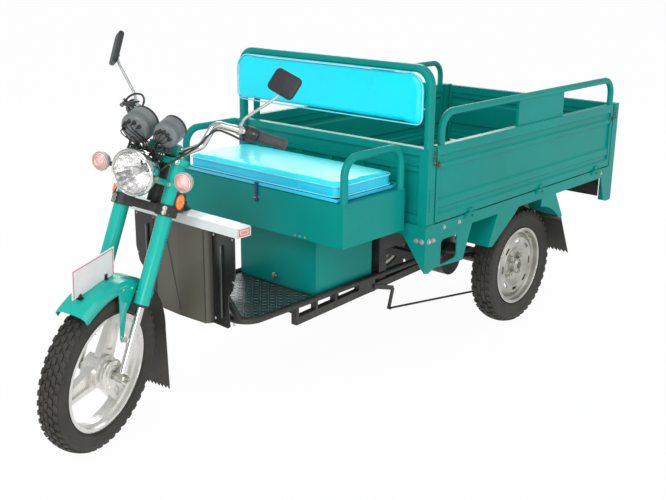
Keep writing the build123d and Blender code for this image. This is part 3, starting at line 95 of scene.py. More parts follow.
def select_none():
    """Leave edit mode and deselect everything, because an operator acts on all that is selected."""
    if bpy.context.object is not None and bpy.context.object.mode != "OBJECT":
        bpy.ops.object.mode_set(mode="OBJECT")
    bpy.ops.object.select_all(action="DESELECT")


def maths(tree, operation, a, b):
    """One Math node; a and b are numbers or sockets."""
    node = tree.nodes.new("ShaderNodeMath")
    node.operation = operation
    for socket, value in zip(node.inputs, (a, b)):
        if isinstance(value, (int, float)):
            socket.default_value = value
        else:
            tree.links.new(value, socket)
    return node.outputs[0]


def white_when_seen(tree, lit, kinds, white_share):
    """Mix a lit shader with plain white for some kinds of ray, as the Light Path node names them."""
    rays = tree.nodes.new("ShaderNodeLightPath")
    seen = rays.outputs[kinds[0]]
    for kind in kinds[1:]:
        seen = maths(tree, "MAXIMUM", seen, rays.outputs[kind])
    white = tree.nodes.new("ShaderNodeEmission")
    white.inputs["Color"].default_value = (1, 1, 1, 1)
    mix = tree.nodes.new("ShaderNodeMixShader")
    tree.links.new(maths(tree, "MULTIPLY", seen, white_share), mix.inputs[0])
    tree.links.new(lit, mix.inputs[1])
    tree.links.new(white.outputs[0], mix.inputs[2])
    return mix.outputs[0]


select_none()
bpy.ops.mesh.primitive_plane_add(size=FLOOR_SIZE, location=(0, 0, JUST_BELOW_WHEELS))
floor = bpy.context.object
floor.name = "studio_floor"
floor_paint = bpy.data.materials.new("studio_floor")
floor_paint.use_nodes = True
floor.data.materials.append(floor_paint)
tree = floor_paint.node_tree
lit_floor = tree.nodes["Principled BSDF"]
lit_floor.inputs["Base Color"].default_value = (FLOOR_GREY, FLOOR_GREY, FLOOR_GREY, 1)
lit_floor.inputs["Roughness"].default_value = FLOOR_ROUGH
kinds = ["Is Camera Ray", "Is Transmission Ray", "Is Glossy Ray"]
shown = white_when_seen(tree, lit_floor.outputs[0], kinds, FLOOR_WHITE_SHARE)
tree.links.new(shown, tree.nodes["Material Output"].inputs["Surface"])

sky = bpy.data.worlds.new("studio_sky")
bpy.context.scene.world = sky
sky.use_nodes = True
tree = sky.node_tree
soft = tree.nodes["Background"]
soft.inputs["Color"].default_value = SKY_COLOUR
soft.inputs["Strength"].default_value = SKY_STRENGTH
shown = white_when_seen(tree, soft.outputs[0], kinds[:2], SKY_WHITE_SHARE)
tree.links.new(shown, tree.nodes["World Output"].inputs["Surface"])
print("floor", FLOOR_SIZE, "m wide, sky strength", SKY_STRENGTH)

# %% [markdown]
# The lamps are area lamps, all aimed at the middle of the vehicle. The key lamp stands high in front, a
# low one reaches under the overhangs, a fill lamp lights the left side, and the last one the back.

# %% Lamps
AIM = Vector((0, 0, 0.5))
LAMPS = {  # name: (place, size, power)
    "key": ((1.6, -4.6, 4.2), 2.6, 126),
    "low": ((2.9, -4.3, 0.5), 2.2, 70),
    "fill": ((4.8, 1.2, 2.6), 3.2, 54),
    "back": ((-3.1, 3.5, 2.9), 3.0, 95),
}
for name, (place, size, power) in LAMPS.items():
    lamp = bpy.data.objects.new(name, bpy.data.lights.new(name, "AREA"))
    lamp.data.size, lamp.data.energy = size, power
    lamp.location = place
    lamp.rotation_euler = (AIM - Vector(place)).to_track_quat("-Z", "Y").to_euler()
    bpy.context.scene.collection.objects.link(lamp)
print("lamps", sorted(LAMPS))

# %% [markdown]
# Four effects come back on many surfaces, so each is a node group: patchy tone with specks, fine grain,
# road dust that gathers low down, and pebbled skin. Each puts out only masks and heights.

# %% Effect groups
SPECK_SCALE, SPECK_LEAST, SPECK_FULL = 210.0, 0.62, 0.72
DUST_PATCH_SCALE, LEAST_DUST = 9.0, 0.06


def new_group(name, inputs, outputs):
    """An empty shader group with float inputs {name: default} and float outputs."""
    group = bpy.data.node_groups.new(name, "ShaderNodeTree")
    for title, value in inputs.items():
        socket = group.interface.new_socket(name=title, in_out="INPUT", socket_type="NodeSocketFloat")
        socket.default_value = value
    for title in outputs:
        group.interface.new_socket(name=title, in_out="OUTPUT", socket_type="NodeSocketFloat")
    return group, group.nodes.new("NodeGroupInput"), group.nodes.new("NodeGroupOutput")


def noise(tree, coords, scale, detail=3.0):
    """A noise texture on some coordinates; scale is a number or a socket."""
    texture = tree.nodes.new("ShaderNodeTexNoise")
    texture.inputs["Detail"].default_value = detail
    tree.links.new(coords, texture.inputs["Vector"])
    if isinstance(scale, (int, float)):
        texture.inputs["Scale"].default_value = scale
    else:
        tree.links.new(scale, texture.inputs["Scale"])
    return texture.outputs[0]


def ramped(tree, value, low, high):
    """Spread a value from low..high to 0..1, clamped."""
    spread = tree.nodes.new("ShaderNodeMapRange")
    spread.inputs["From Min"].default_value = low
    spread.inputs["From Max"].default_value = high
    tree.links.new(value, spread.inputs["Value"])
    return spread.outputs[0]


tone_group, ins, outs = new_group("patchy_tone", {"Scale": 5.0, "Contrast": 1.0}, ["Tone", "Speck"])
coords = tone_group.nodes.new("ShaderNodeTexCoord").outputs["Object"]
broad = ramped(tone_group, noise(tone_group, coords, ins.outputs["Scale"], 5.0), 0.32, 0.68)
tone_group.links.new(maths(tone_group, "MULTIPLY", broad, ins.outputs["Contrast"]), outs.inputs["Tone"])
specks = ramped(tone_group, noise(tone_group, coords, SPECK_SCALE, 2.0), SPECK_LEAST, SPECK_FULL)
tone_group.links.new(specks, outs.inputs["Speck"])

grain_group, ins, outs = new_group("fine_grain", {"Scale": 300.0, "Stretch": 1.0}, ["Height"])
coords = grain_group.nodes.new("ShaderNodeTexCoord").outputs["Object"]
stretch = grain_group.nodes.new("ShaderNodeCombineXYZ")
stretch.inputs[0].default_value = stretch.inputs[2].default_value = 1.0
grain_group.links.new(ins.outputs["Stretch"], stretch.inputs[1])
drawn = grain_group.nodes.new("ShaderNodeVectorMath")
drawn.operation = "MULTIPLY"
grain_group.links.new(coords, drawn.inputs[0])
grain_group.links.new(stretch.outputs[0], drawn.inputs[1])
grain_group.links.new(noise(grain_group, drawn.outputs[0], ins.outputs["Scale"], 2.0),
                      outs.inputs["Height"])

dust_group, ins, outs = new_group("road_dust", {"Reach": 0.5, "Amount": 0.5}, ["Dust"])
coords = dust_group.nodes.new("ShaderNodeTexCoord").outputs["Object"]
split = dust_group.nodes.new("ShaderNodeSeparateXYZ")
dust_group.links.new(coords, split.inputs[0])
low = maths(dust_group, "DIVIDE", split.outputs["Z"], ins.outputs["Reach"])
low = maths(dust_group, "SUBTRACT", 1.0, low)
patches = ramped(dust_group, noise(dust_group, coords, DUST_PATCH_SCALE, 6.0), 0.35, 0.75)
dust = maths(dust_group, "MULTIPLY", maths(dust_group, "MAXIMUM", low, LEAST_DUST), patches)
dust_group.links.new(maths(dust_group, "MULTIPLY", dust, ins.outputs["Amount"]), outs.inputs["Dust"])

pebble_group, ins, outs = new_group("pebbled_skin", {"Scale": 400.0}, ["Height"])
coords = pebble_group.nodes.new("ShaderNodeTexCoord").outputs["Object"]
pebble = pebble_group.nodes.new("ShaderNodeTexVoronoi")
pebble_group.links.new(coords, pebble.inputs["Vector"])
pebble_group.links.new(ins.outputs["Scale"], pebble.inputs["Scale"])
pebble_group.links.new(ramped(pebble_group, pebble.outputs["Distance"], 0.0, 0.6), outs.inputs["Height"])
print("groups", sorted(group.name for group in bpy.data.node_groups))

# %% [markdown]
# One recipe then serves most finishes: a base colour that drifts towards a second one, specks, dust low
# down, a roughness that varies with the same tone, and a bump from grain or pebbles. Constants sit on the
# shader's own sockets, so that other programs read them too.

# %% The finish recipe


def linear(red, green, blue):
    """A colour as a paint chart gives it, 0 to 255, in the linear units that shaders use."""
    return [((c / 255 + 0.055) / 1.055) ** 2.4 if c > 10 else c / 255 / 12.92
            for c in (red, green, blue)] + [1.0]


def mixed(tree, share, a, b):
    """Colour a turning to colour b; each is a colour or a socket, and share is a number or a socket."""
    mix = tree.nodes.new("ShaderNodeMix")
    mix.data_type = "RGBA"
    sockets = {"share": mix.inputs[0], "a": mix.inputs[6], "b": mix.inputs[7]}
    for title, value in (("share", share), ("a", a), ("b", b)):
        if isinstance(value, bpy.types.NodeSocket):
            tree.links.new(value, sockets[title])
        else:
            sockets[title].default_value = value
    return mix.outputs[2]


def use_group(tree, group, **values):
    """Place an effect group and set its named inputs."""
    node = tree.nodes.new("ShaderNodeGroup")
    node.node_tree = group
    for title, value in values.items():
        node.inputs[title].default_value = value
    return node


DUST_COLOUR = linear(128, 120, 104)
BUMP_DEPTH = 0.001


def finish(name, colour, drift, rough, tone, metallic=0.0, speck=0.0, dust=None, grain=(300.0, 1.0, 0.08),
           pebble=None, **sockets):
    """A named material; rough is a range, tone the scale of the patches, speck the strength of the specks.

    dust is (reach in metres, amount), grain is (scale, stretch, strength), and pebble, which replaces the
    grain, is (scale, strength). Extra keywords set constant sockets of the shader, such as Coat_Weight.
    """
    material = bpy.data.materials.new(name)
    material.use_nodes = True
    tree = material.node_tree
    shader = tree.nodes["Principled BSDF"]
    patches = use_group(tree, tone_group, Scale=tone)
    base = mixed(tree, patches.outputs["Tone"], linear(*colour), linear(*drift))
    if speck:
        base = mixed(tree, maths(tree, "MULTIPLY", patches.outputs["Speck"], speck), base, DUST_COLOUR)
    if dust:
        road = use_group(tree, dust_group, Reach=dust[0], Amount=dust[1])
        base = mixed(tree, road.outputs["Dust"], base, DUST_COLOUR)
    tree.links.new(base, shader.inputs["Base Color"])
    shader.inputs["Metallic"].default_value = metallic
    spread = tree.nodes.new("ShaderNodeMapRange")
    spread.inputs["To Min"].default_value, spread.inputs["To Max"].default_value = rough
    tree.links.new(patches.outputs["Tone"], spread.inputs["Value"])
    tree.links.new(spread.outputs[0], shader.inputs["Roughness"])
    bump = tree.nodes.new("ShaderNodeBump")
    bump.inputs["Distance"].default_value = BUMP_DEPTH
    if pebble:
        bump.inputs["Strength"].default_value = pebble[1]
        height = use_group(tree, pebble_group, Scale=pebble[0]).outputs["Height"]
    else:
        bump.inputs["Strength"].default_value = grain[2]
        height = use_group(tree, grain_group, Scale=grain[0], Stretch=grain[1]).outputs["Height"]
    tree.links.new(height, bump.inputs["Height"])
    tree.links.new(bump.outputs[0], shader.inputs["Normal"])
    for title, value in sockets.items():
        shader.inputs[title.replace("_", " ")].default_value = value
    return material


print("dust colour", [round(part, 3) for part in DUST_COLOUR[:3]])

# %% [markdown]
# The body is sprayed in one teal enamel, with a clear gloss and a slight orange peel. The fork and the
# front fender take a lighter, glossier copy of it, whose lighter colour is painted light. The running gear
# is black paint that goes grey with dust. Vinyl, rubber and moulded plastic differ mostly in grain and
# roughness. Each finish has two colours, as a paint chart gives them, and drifts from one to the other in
# patches.

# %% The finishes
teal = finish("teal_enamel", (0, 136, 127), (4, 145, 136), rough=(0.30, 0.42), tone=3.5, speck=0.08,
              dust=(0.55, 0.12), grain=(90.0, 1.0, 0.10), Specular_IOR_Level=0.13, Coat_Weight=0.04,
              Coat_Roughness=0.12)
# The fork's and fender's teal is lighter than the body's: painted light, on top of a real glossier coat.
teal_glossy_painted_light = finish("teal_enamel_glossy_painted_light", (6, 172, 156), (14, 180, 164), rough=(0.18, 0.28), tone=5.0,
                     speck=0.06, dust=(0.5, 0.05), grain=(70.0, 1.0, 0.08), Specular_IOR_Level=0.3,
                     Coat_Weight=0.25, Coat_Roughness=0.05)
frame_black = finish("frame_black", (24, 24, 25), (42, 40, 38), rough=(0.34, 0.60), tone=14.0, speck=0.45,
                     dust=(0.42, 0.35), grain=(160.0, 1.0, 0.2))
deck_black = finish("deck_black", (34, 42, 44), (52, 60, 62), rough=(0.26, 0.46), tone=9.0, speck=0.4,
                    dust=(0.7, 0.28), grain=(220.0, 1.0, 0.15))
rubber = finish("tyre_rubber", (28, 28, 25), (46, 45, 40), rough=(0.62, 0.82), tone=11.0, speck=0.3,
                dust=(0.60, 0.22), grain=(420.0, 1.0, 0.35))
flap_rubber = finish("flap_rubber", (30, 30, 28), (50, 48, 42), rough=(0.50, 0.70), tone=8.0, speck=0.3,
                     dust=(0.5, 0.22), pebble=(260.0, 0.25))
cast_silver = finish("cast_silver", (236, 233, 228), (214, 212, 206), rough=(0.22, 0.36), metallic=0.6,
                     tone=12.0, speck=0.25, dust=(0.4, 0.25), grain=(260.0, 1.0, 0.22))
wheel_silver = finish("wheel_silver", (200, 199, 192), (160, 158, 150), rough=(0.28, 0.46), metallic=0.7,
                      tone=13.0, speck=0.3, dust=(0.4, 0.35), grain=(200.0, 1.0, 0.15))
chrome = finish("chrome", (226, 226, 222), (200, 198, 192), rough=(0.07, 0.16), metallic=1.0, tone=10.0,
                speck=0.12, grain=(40.0, 1.0, 0.03))
zinc = finish("bright_zinc", (206, 204, 192), (160, 158, 146), rough=(0.26, 0.42), metallic=0.9, tone=40.0,
              speck=0.3, grain=(500.0, 1.0, 0.2))
dull_steel = finish("dull_steel", (118, 114, 106), (78, 74, 68), rough=(0.38, 0.62), metallic=0.8,
                    tone=18.0, speck=0.5, dust=(0.4, 0.5), grain=(300.0, 1.0, 0.3))
black_plastic = finish("black_plastic", (34, 35, 36), (48, 49, 50), rough=(0.38, 0.52), tone=12.0,
                       speck=0.12, pebble=(900.0, 0.18))
gauge_plastic = finish("gauge_plastic", (104, 108, 110), (124, 128, 130), rough=(0.30, 0.42), tone=8.0,
                       speck=0.12, pebble=(800.0, 0.12), Coat_Weight=0.2)
grip_rubber = finish("grip_rubber", (62, 62, 62), (84, 82, 80), rough=(0.5, 0.66), tone=20.0, speck=0.2,
                     grain=(600.0, 1.0, 0.25))
vinyl = finish("cushion_vinyl", (0, 224, 248), (0, 232, 251), rough=(0.26, 0.40), tone=4.0,
               pebble=(520.0, 0.16), Specular_IOR_Level=0.25, Coat_Weight=0.3, Coat_Roughness=0.2)
vinyl_side = finish("cushion_side_vinyl", (20, 200, 236), (28, 212, 242), rough=(0.30, 0.44), tone=7.0,
                    pebble=(520.0, 0.16), Coat_Weight=0.2)
piping = finish("cushion_piping", (150, 232, 246), (110, 216, 240), rough=(0.22, 0.34), tone=9.0,
                grain=(500.0, 1.0, 0.1), Coat_Weight=0.4)
white_paint = finish("white_paint", (232, 234, 232), (214, 218, 216), rough=(0.25, 0.4), tone=9.0,
                     speck=0.15, grain=(90.0, 1.0, 0.06), Coat_Weight=0.3)
plate_white = finish("plate_white", (240, 236, 236), (230, 222, 224), rough=(0.3, 0.42), tone=12.0,
                     speck=0.15, dust=(0.9, 0.10), grain=(400.0, 1.0, 0.06))
plate_red = finish("plate_border", (196, 64, 74), (182, 54, 66), rough=(0.3, 0.42), tone=20.0, speck=0.1,
                   grain=(400.0, 1.0, 0.05))
reflector_red = finish("reflector_red", (214, 92, 88), (226, 150, 140), rough=(0.10, 0.2), tone=26.0,
                       pebble=(330.0, 0.7), Coat_Weight=0.8)
reflector_amber = finish("reflector_amber", (238, 96, 18), (250, 132, 40), rough=(0.10, 0.2), tone=26.0,
                         pebble=(330.0, 0.7), Coat_Weight=0.8)
# The seat top's lighter vinyl colour is painted light, because the top faces the sky.
seat_vinyl_painted_light = finish("seat_top_vinyl_painted_light", (8, 244, 252), (24, 248, 254), rough=(0.26, 0.40), tone=4.0,
                    pebble=(520.0, 0.16), Coat_Weight=0.24, Coat_Roughness=0.18)
# The lozenges are lighter than the deck: worn steel, and also painted highlight for their glints.
worn_deck_painted_glints = finish("worn_deck_painted_glints", (122, 146, 146), (58, 76, 76), rough=(0.22, 0.42), metallic=0.5, tone=9.0,
                   speck=0.6, grain=(240.0, 1.0, 0.2))
gloss_black = finish("gloss_black", (46, 52, 48), (34, 38, 36), rough=(0.1, 0.2), tone=8.0,
                     grain=(90.0, 1.0, 0.1), Coat_Weight=1.0, Coat_Roughness=0.06)
signal_ring = finish("signal_lens_grooves", (204, 96, 86), (190, 80, 72), rough=(0.2, 0.3), tone=22.0,
                     grain=(120.0, 1.0, 0.1), Coat_Weight=0.5)
satin_rod = finish("satin_rod", (196, 198, 196), (176, 178, 176), rough=(0.3, 0.4), metallic=0.6, tone=12.0,
                   grain=(60.0, 1.0, 0.04))
signal_pink = finish("signal_lens", (246, 226, 218), (238, 208, 198), rough=(0.12, 0.22), tone=22.0,
                     grain=(120.0, 1.0, 0.1), Coat_Weight=0.8, Subsurface_Weight=0.25)
tail_red = finish("tail_lens", (176, 20, 18), (206, 44, 36), rough=(0.10, 0.2), tone=22.0,
                  pebble=(280.0, 0.5), Coat_Weight=0.8)
grey_plastic = finish("grey_plastic", (196, 196, 190), (176, 176, 170), rough=(0.34, 0.48), tone=14.0,
                      speck=0.1, pebble=(700.0, 0.1))
dial_face = finish("dial_face", (18, 20, 22), (26, 28, 30), rough=(0.5, 0.6), tone=30.0)
dial_mark = finish("dial_mark", (236, 236, 230), (222, 222, 216), rough=(0.5, 0.6), tone=30.0)
needle_red = finish("needle_red", (220, 40, 30), (200, 34, 26), rough=(0.4, 0.5), tone=30.0)
navy_strap = finish("navy_strap", (22, 48, 92), (30, 62, 112), rough=(0.35, 0.5), tone=30.0, speck=0.2)
reflector_bowl = finish("lamp_reflector", (255, 255, 255), (206, 202, 200), rough=(0.08, 0.2),
                        metallic=0.85, tone=40.0, grain=(30.0, 1.0, 0.1))
battery_case = finish("battery_case", (46, 48, 52), (60, 62, 66), rough=(0.4, 0.55), tone=10.0, speck=0.25,
                      dust=(0.5, 0.25), pebble=(600.0, 0.2))
lid_board = finish("lid_board", (16, 36, 44), (28, 56, 62), rough=(0.4, 0.6), tone=7.0, speck=0.25,
                   dust=(0.5, 0.25), grain=(260.0, 1.0, 0.2))
print("finishes", len(bpy.data.materials))

# %% [markdown]
# Three surfaces stand apart. The leg shield is one moulding: a dull grey-brown middle, and glossy wings
# painted black as painted shade, since they turn away from the light. Glass is a plain transmissive shader,
# and the mirrors are polished metal.

# %% Shield, glass and mirror
WING_SHADE_EDGE_X, EDGE_BLUR = 0.124, 0.004


def shaded_wing_moulding(name, shade_edge_x, inner, outer, rough_inner, rough_outer, bump):
    """A moulding whose colour turns to a painted shade where |x| passes shade_edge_x."""
    material = finish(name, inner, inner, rough=rough_inner, tone=5.0, speck=0.2, dust=(0.6, 0.3),
                      pebble=bump)
    tree = material.node_tree
    shader = tree.nodes["Principled BSDF"]
    split = tree.nodes.new("ShaderNodeSeparateXYZ")
    tree.links.new(tree.nodes.new("ShaderNodeTexCoord").outputs["Object"], split.inputs[0])
    wing_shade = ramped(tree, maths(tree, "ABSOLUTE", split.outputs["X"], 0), shade_edge_x - EDGE_BLUR,
                     shade_edge_x + EDGE_BLUR)
    old = shader.inputs["Base Color"].links[0].from_socket
    tree.links.new(mixed(tree, wing_shade, old, linear(*outer)), shader.inputs["Base Color"])
    rough = tree.nodes.new("ShaderNodeMapRange")
    rough.inputs["To Min"].default_value = rough_inner[0]
    rough.inputs["To Max"].default_value = rough_outer
    tree.links.new(wing_shade, rough.inputs["Value"])
    tree.links.new(rough.outputs[0], shader.inputs["Roughness"])
    return material


# The wings' black is painted shade; their lower roughness is real gloss.
shield_plastic = shaded_wing_moulding("shield_plastic", WING_SHADE_EDGE_X, (88, 84, 71), (30, 30, 29), (0.42, 0.5), 0.20,
                          (700.0, 0.10))

lamp_glass = bpy.data.materials.new("lamp_glass")
lamp_glass.use_nodes = True
shader = lamp_glass.node_tree.nodes["Principled BSDF"]
shader.inputs["Base Color"].default_value = linear(253, 254, 255)
shader.inputs["Roughness"].default_value = 0.03
shader.inputs["Transmission Weight"].default_value = 1.0
shader.inputs["IOR"].default_value = 1.2
ripple = lamp_glass.node_tree.nodes.new("ShaderNodeBump")
ripple.inputs["Strength"].default_value = 0.06
ripple.inputs["Distance"].default_value = BUMP_DEPTH
tree = lamp_glass.node_tree
tree.links.new(use_group(tree, grain_group, Scale=60.0).outputs["Height"], ripple.inputs["Height"])
tree.links.new(ripple.outputs[0], shader.inputs["Normal"])

mirror_glass = finish("mirror_glass", (222, 228, 230), (214, 222, 226), rough=(0.02, 0.05), metallic=1.0,
                      tone=9.0, speck=0.1, grain=(20.0, 1.0, 0.02))
print("glass and", shield_plastic.name)

# %% [markdown]
# Every CAD node keeps its shape and gets the finish of the real part. The tyres, the cushions and the
# lamps are dressed too, although fuller pieces stand in for them later.

# %% Dress the CAD nodes
NODE_FINISH = {teal: ["base_box", "base_box_door", "seat_box", "armrests", "bed_frame", "corner_plates",
                      "bed_floor", "bed_front_wall", "backrest_frame", "side_board_left",
                      "side_board_right", "tailgate", "rear_fenders"],
               teal_glossy_painted_light: ["fork_tubes", "top_yoke", "front_fender"],
               frame_black: ["chassis_frame", "rear_axle", "leaf_springs", "brake_linkage",
                             "rear_lamp_board", "steering_stem"], deck_black: ["footboard"],
               rubber: ["front_tyre", "rear_tyre_left", "rear_tyre_right"], cast_silver: ["front_rim"],
               wheel_silver: ["rear_rim_left", "rear_rim_right"],
               chrome: ["fork_legs", "handlebar", "headlight"], zinc: ["front_axle"],
               vinyl: ["seat_cushion", "backrest_cushion"], black_plastic: ["mirrors", "control_cables"],
               gauge_plastic: ["gauges"], grip_rubber: ["grips"], shield_plastic: ["leg_shield"],
               white_paint: ["shield_bar"], flap_rubber: ["front_mud_flap", "rear_mud_flaps"],
               signal_pink: ["turn_signals"], plate_white: ["number_plate"], battery_case: ["battery_pack"],
               lid_board: ["seat_lid"], }
for material, names in NODE_FINISH.items():
    for name in names:
        nodes[name].data.materials.clear()
        nodes[name].data.materials.append(material)
print("undressed", sorted(set(nodes) - {name for names in NODE_FINISH.values() for name in names}))

# %% [markdown]
# Round parts are turned: one profile is drawn as a chain of extruded points, then spun about Z. Plates
# start as a cube with bevelled edges, and wires and bent bars as a round section along a line. Each is
# made at the origin, then set on its place and axis, and the move is applied, so every finished piece
# sits at the origin unrotated.

# %% Building helpers


def pick(piece):
    """Select one piece only, and make it the active one."""
    select_none()
    bpy.context.view_layer.objects.active = piece
    piece.select_set(True)


def edit(piece):
    """Go into edit mode on one piece with all of it selected."""
    pick(piece)
    bpy.ops.object.mode_set(mode="EDIT")
    bpy.ops.mesh.select_mode(type="VERT")
    bpy.ops.mesh.select_all(action="SELECT")


def turned(profile, steps=48, arc=360.0):
    """Spin (radius, height) points, in mm, about Z."""
    select_none()
    bpy.ops.mesh.primitive_circle_add(vertices=3, radius=0.01)
    piece = bpy.context.object
    edit(piece)
    bpy.ops.mesh.merge(type="CENTER")
    spot = Vector((profile[0][0] * MM, 0, profile[0][1] * MM))
    bpy.ops.transform.translate(value=spot)
    for radius, height in profile[1:]:
        following = Vector((radius * MM, 0, height * MM))
        bpy.ops.mesh.extrude_vertices_move(TRANSFORM_OT_translate={"value": following - spot})
        spot = following
    bpy.ops.mesh.select_all(action="SELECT")
    bpy.ops.mesh.spin(steps=steps, angle=math.radians(arc), center=(0, 0, 0), axis=(0, 0, 1))
    bpy.ops.mesh.select_all(action="SELECT")
    bpy.ops.mesh.remove_doubles(threshold=0.00001)
    bpy.ops.mesh.normals_make_consistent(inside=False)
    bpy.ops.object.mode_set(mode="OBJECT")
    return piece


def plate(size, bevel=1.5, segments=2):
    """A block of a given size in mm with rounded edges, centred on the origin."""
    select_none()
    bpy.ops.mesh.primitive_cube_add(size=1)
    piece = bpy.context.object
    piece.scale = Vector(size) * MM
    bpy.ops.object.transform_apply(location=False, rotation=False, scale=True)
    edit(piece)
    bpy.ops.mesh.bevel(offset=min(bevel, 0.45 * min(size)) * MM, segments=segments, affect="EDGES")
    bpy.ops.object.mode_set(mode="OBJECT")
    return piece


def wire(points, radius, closed=False, sides=4, smooth=True):
    """A round section, radius in mm, along points in metres; smooth runs curve through the points."""
    line = bpy.data.curves.new("line", "CURVE")
    line.dimensions = "3D"
    run = line.splines.new("BEZIER")
    run.bezier_points.add(len(points) - 1)
    for knot, point in zip(run.bezier_points, points):
        knot.co = point
        knot.handle_left_type = knot.handle_right_type = "AUTO" if smooth else "VECTOR"
    run.use_cyclic_u = closed
    line.bevel_depth, line.bevel_resolution, line.resolution_u = radius * MM, sides, 6 if smooth else 2
    line.use_fill_caps = not closed
    piece = bpy.data.objects.new("line", line)
    bpy.context.scene.collection.objects.link(piece)
    pick(piece)
    bpy.ops.object.convert(target="MESH")
    return bpy.context.object


def placed(piece, where, z=(0, 0, 1), x=None):
    """Move a piece to a place, turned so that its Z points along z and its X as near as can be along x."""
    z = Vector(z).normalized()
    hint = Vector(x) if x is not None else (Vector((1, 0, 0)) if abs(z.x) < 0.9 else Vector((0, 1, 0)))
    side = z.cross(hint).normalized()
    piece.matrix_world = Matrix.Translation(where) @ Matrix((side.cross(z), side, z)).transposed().to_4x4()
    pick(piece)
    bpy.ops.object.transform_apply(location=True, rotation=True, scale=True)
    return piece


def joined(pieces):
    """Several meshes as one object."""
    select_none()
    for piece in pieces:
        piece.select_set(True)
    bpy.context.view_layer.objects.active = pieces[0]
    bpy.ops.object.join()
    return pieces[0]


def kept(piece, name, material, body, stands_for=(), angle=32):
    """Name, finish and shade a piece, or a list of them as one, and let it ride on its body."""
    if isinstance(piece, list):
        piece = joined(piece)
    piece.name = piece.data.name = name
    if not isinstance(material, (list, tuple)):
        material = [material]
    marks = [face.material_index for face in piece.data.polygons]  # clear() below sets them all to 0
    piece.data.materials.clear()
    for one in material:
        piece.data.materials.append(one)
    for face, mark in zip(piece.data.polygons, marks):
        face.material_index = min(mark, len(material) - 1)
    pick(piece)
    bpy.ops.object.shade_smooth_by_angle(angle=math.radians(angle))
    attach(piece, body)
    if stands_for:
        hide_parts(*stands_for)
    return piece


def paint_faces(piece, index, test):
    """Give material number index to the faces whose centre and normal pass a test."""
    for face in piece.data.polygons:
        if test(face.center, face.normal):
            face.material_index = index


def block(size, bevel, where, z=(0, 0, 1), x=None, segments=2):
    """A plate made and placed in one go."""
    return placed(plate(size, bevel, segments), where, z, x)


def lathed(profile, steps, where, z=(0, 0, 1), x=None):
    """A turned piece made and placed in one go."""
    return placed(turned(profile, steps), where, z, x)


def hex_bolt(where, axis, across, head):
    """A hexagon head with a chamfered top on a washer, standing out along axis. Sizes in mm."""
    r = across / 2 / math.cos(math.pi / 6)
    ring = [(r * 1.35, -0.4), (r * 1.35, 0.9), (0.6 * r, 0.9), (0.6 * r, -0.4), (r * 1.35, -0.4)]
    return joined([lathed([(0, 0), (r, 0), (r, head * 0.8), (r * 0.84, head), (0, head)], 6, where, axis),
                   lathed(ring, 20, where, axis)])


def screw(where, axis, radius, rise):
    """A domed screw or rivet head."""
    dome = [(radius * math.cos(a), rise * math.sin(a)) for a in (0, 0.4, 0.8, 1.2)] + [(0, rise)]
    return lathed([(0, -0.5), (radius, -0.5)] + dome, 14, where, axis)


def copies(piece, matrices):
    """Copy a piece to several matrices, each with its own mesh, and join them all."""
    made = []
    for matrix in matrices:
        twin = bpy.data.objects.new(piece.name, piece.data.copy())
        twin.data.transform(matrix)
        bpy.context.scene.collection.objects.link(twin)
        made.append(twin)
    bpy.data.objects.remove(piece)
    return joined(made)


print("helpers ready")

# %% [markdown]
# Two sets of axes serve the small parts, both in mm: the frame's own, and those of the fork, which leans
# back and is turned a little. Bolts, lamps and gauges on the fork are placed along its tubes, so they
# stay true.

# %% Axes of the frame and of the fork
FORWARD, BACKWARD, LEFTWARD, UPWARD = (0, -1, 0), (0, 1, 0), (1, 0, 0), (0, 0, 1)
steer, spin = joints["steer"], joints["front_wheel_spin"]
FORK_FOOT = Vector(steer["pos_m"])
FORK_UP = Vector(steer["axis"]).normalized()
FORK_LEFT = Vector(spin["axis"]).normalized()
FORK_BACK = FORK_UP.cross(FORK_LEFT)
RAKE = math.atan2(FORK_UP.y, FORK_UP.z)


def at(x, y, z):
    """A point in mm in the frame's own axes."""
    return Vector((x, y, z)) * MM


def box_mm(node):
    """The low and high corners of a CAD node's box, in mm."""
    return [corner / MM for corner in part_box(node)]


def around(count):
    """Equal angles round a full circle."""
    return [math.tau * k / count for k in range(count)]


def on_fork(x, y, z):
    """A point given in mm in the fork's own frame: left, back and up along the steering axis."""
    return FORK_FOOT + (FORK_LEFT * x + FORK_BACK * y + FORK_UP * z) * MM


def fork_way(x, y, z):
    """A direction in the fork's own frame."""
    return FORK_LEFT * x + FORK_BACK * y + FORK_UP * z


AHEAD = fork_way(0, -math.cos(RAKE), -math.sin(RAKE))
LEG_X, LEG_Y, TUBE_R, LEG_R = 75.0, -51.7, 23.0, 11.5
print("fork foot", tuple(round(c, 3) for c in FORK_FOOT), "rake", round(math.degrees(RAKE), 1))

# %% [markdown]
# The two cushions are foam under stretched vinyl. Each starts as a rounded slab a little smaller than its
# space, is remeshed evenly, and is blown up by a short cloth simulation, which pulls the edges in and
# crowns the top. No point may move further than a cap, so the pad stays in its place. Piping is sewn
# round the edge afterwards.

# %% Padding
PRESSURE, CLOTH_FRAMES = 4.0, 20
VOXEL = 0.0055
PIPE_R = 2.4
SIDE_SLACK, EDGE_ROUND = 0.005, 0.006


def rounded_outline(width, height, radii, steps=7):
    """Points of a rounded rectangle; radii are for the corners +x+y, -x+y, -x-y, +x-y."""
    points = []
    for k, radius in enumerate(radii):
        cx = (width / 2 - radius) * (1 if k in (0, 3) else -1)
        cy = (height / 2 - radius) * (1 if k < 2 else -1)
        for step in range(steps + 1):
            a = math.pi / 2 * (k + step / steps)
            points.append((cx + radius * math.cos(a), cy + radius * math.sin(a)))
    return points


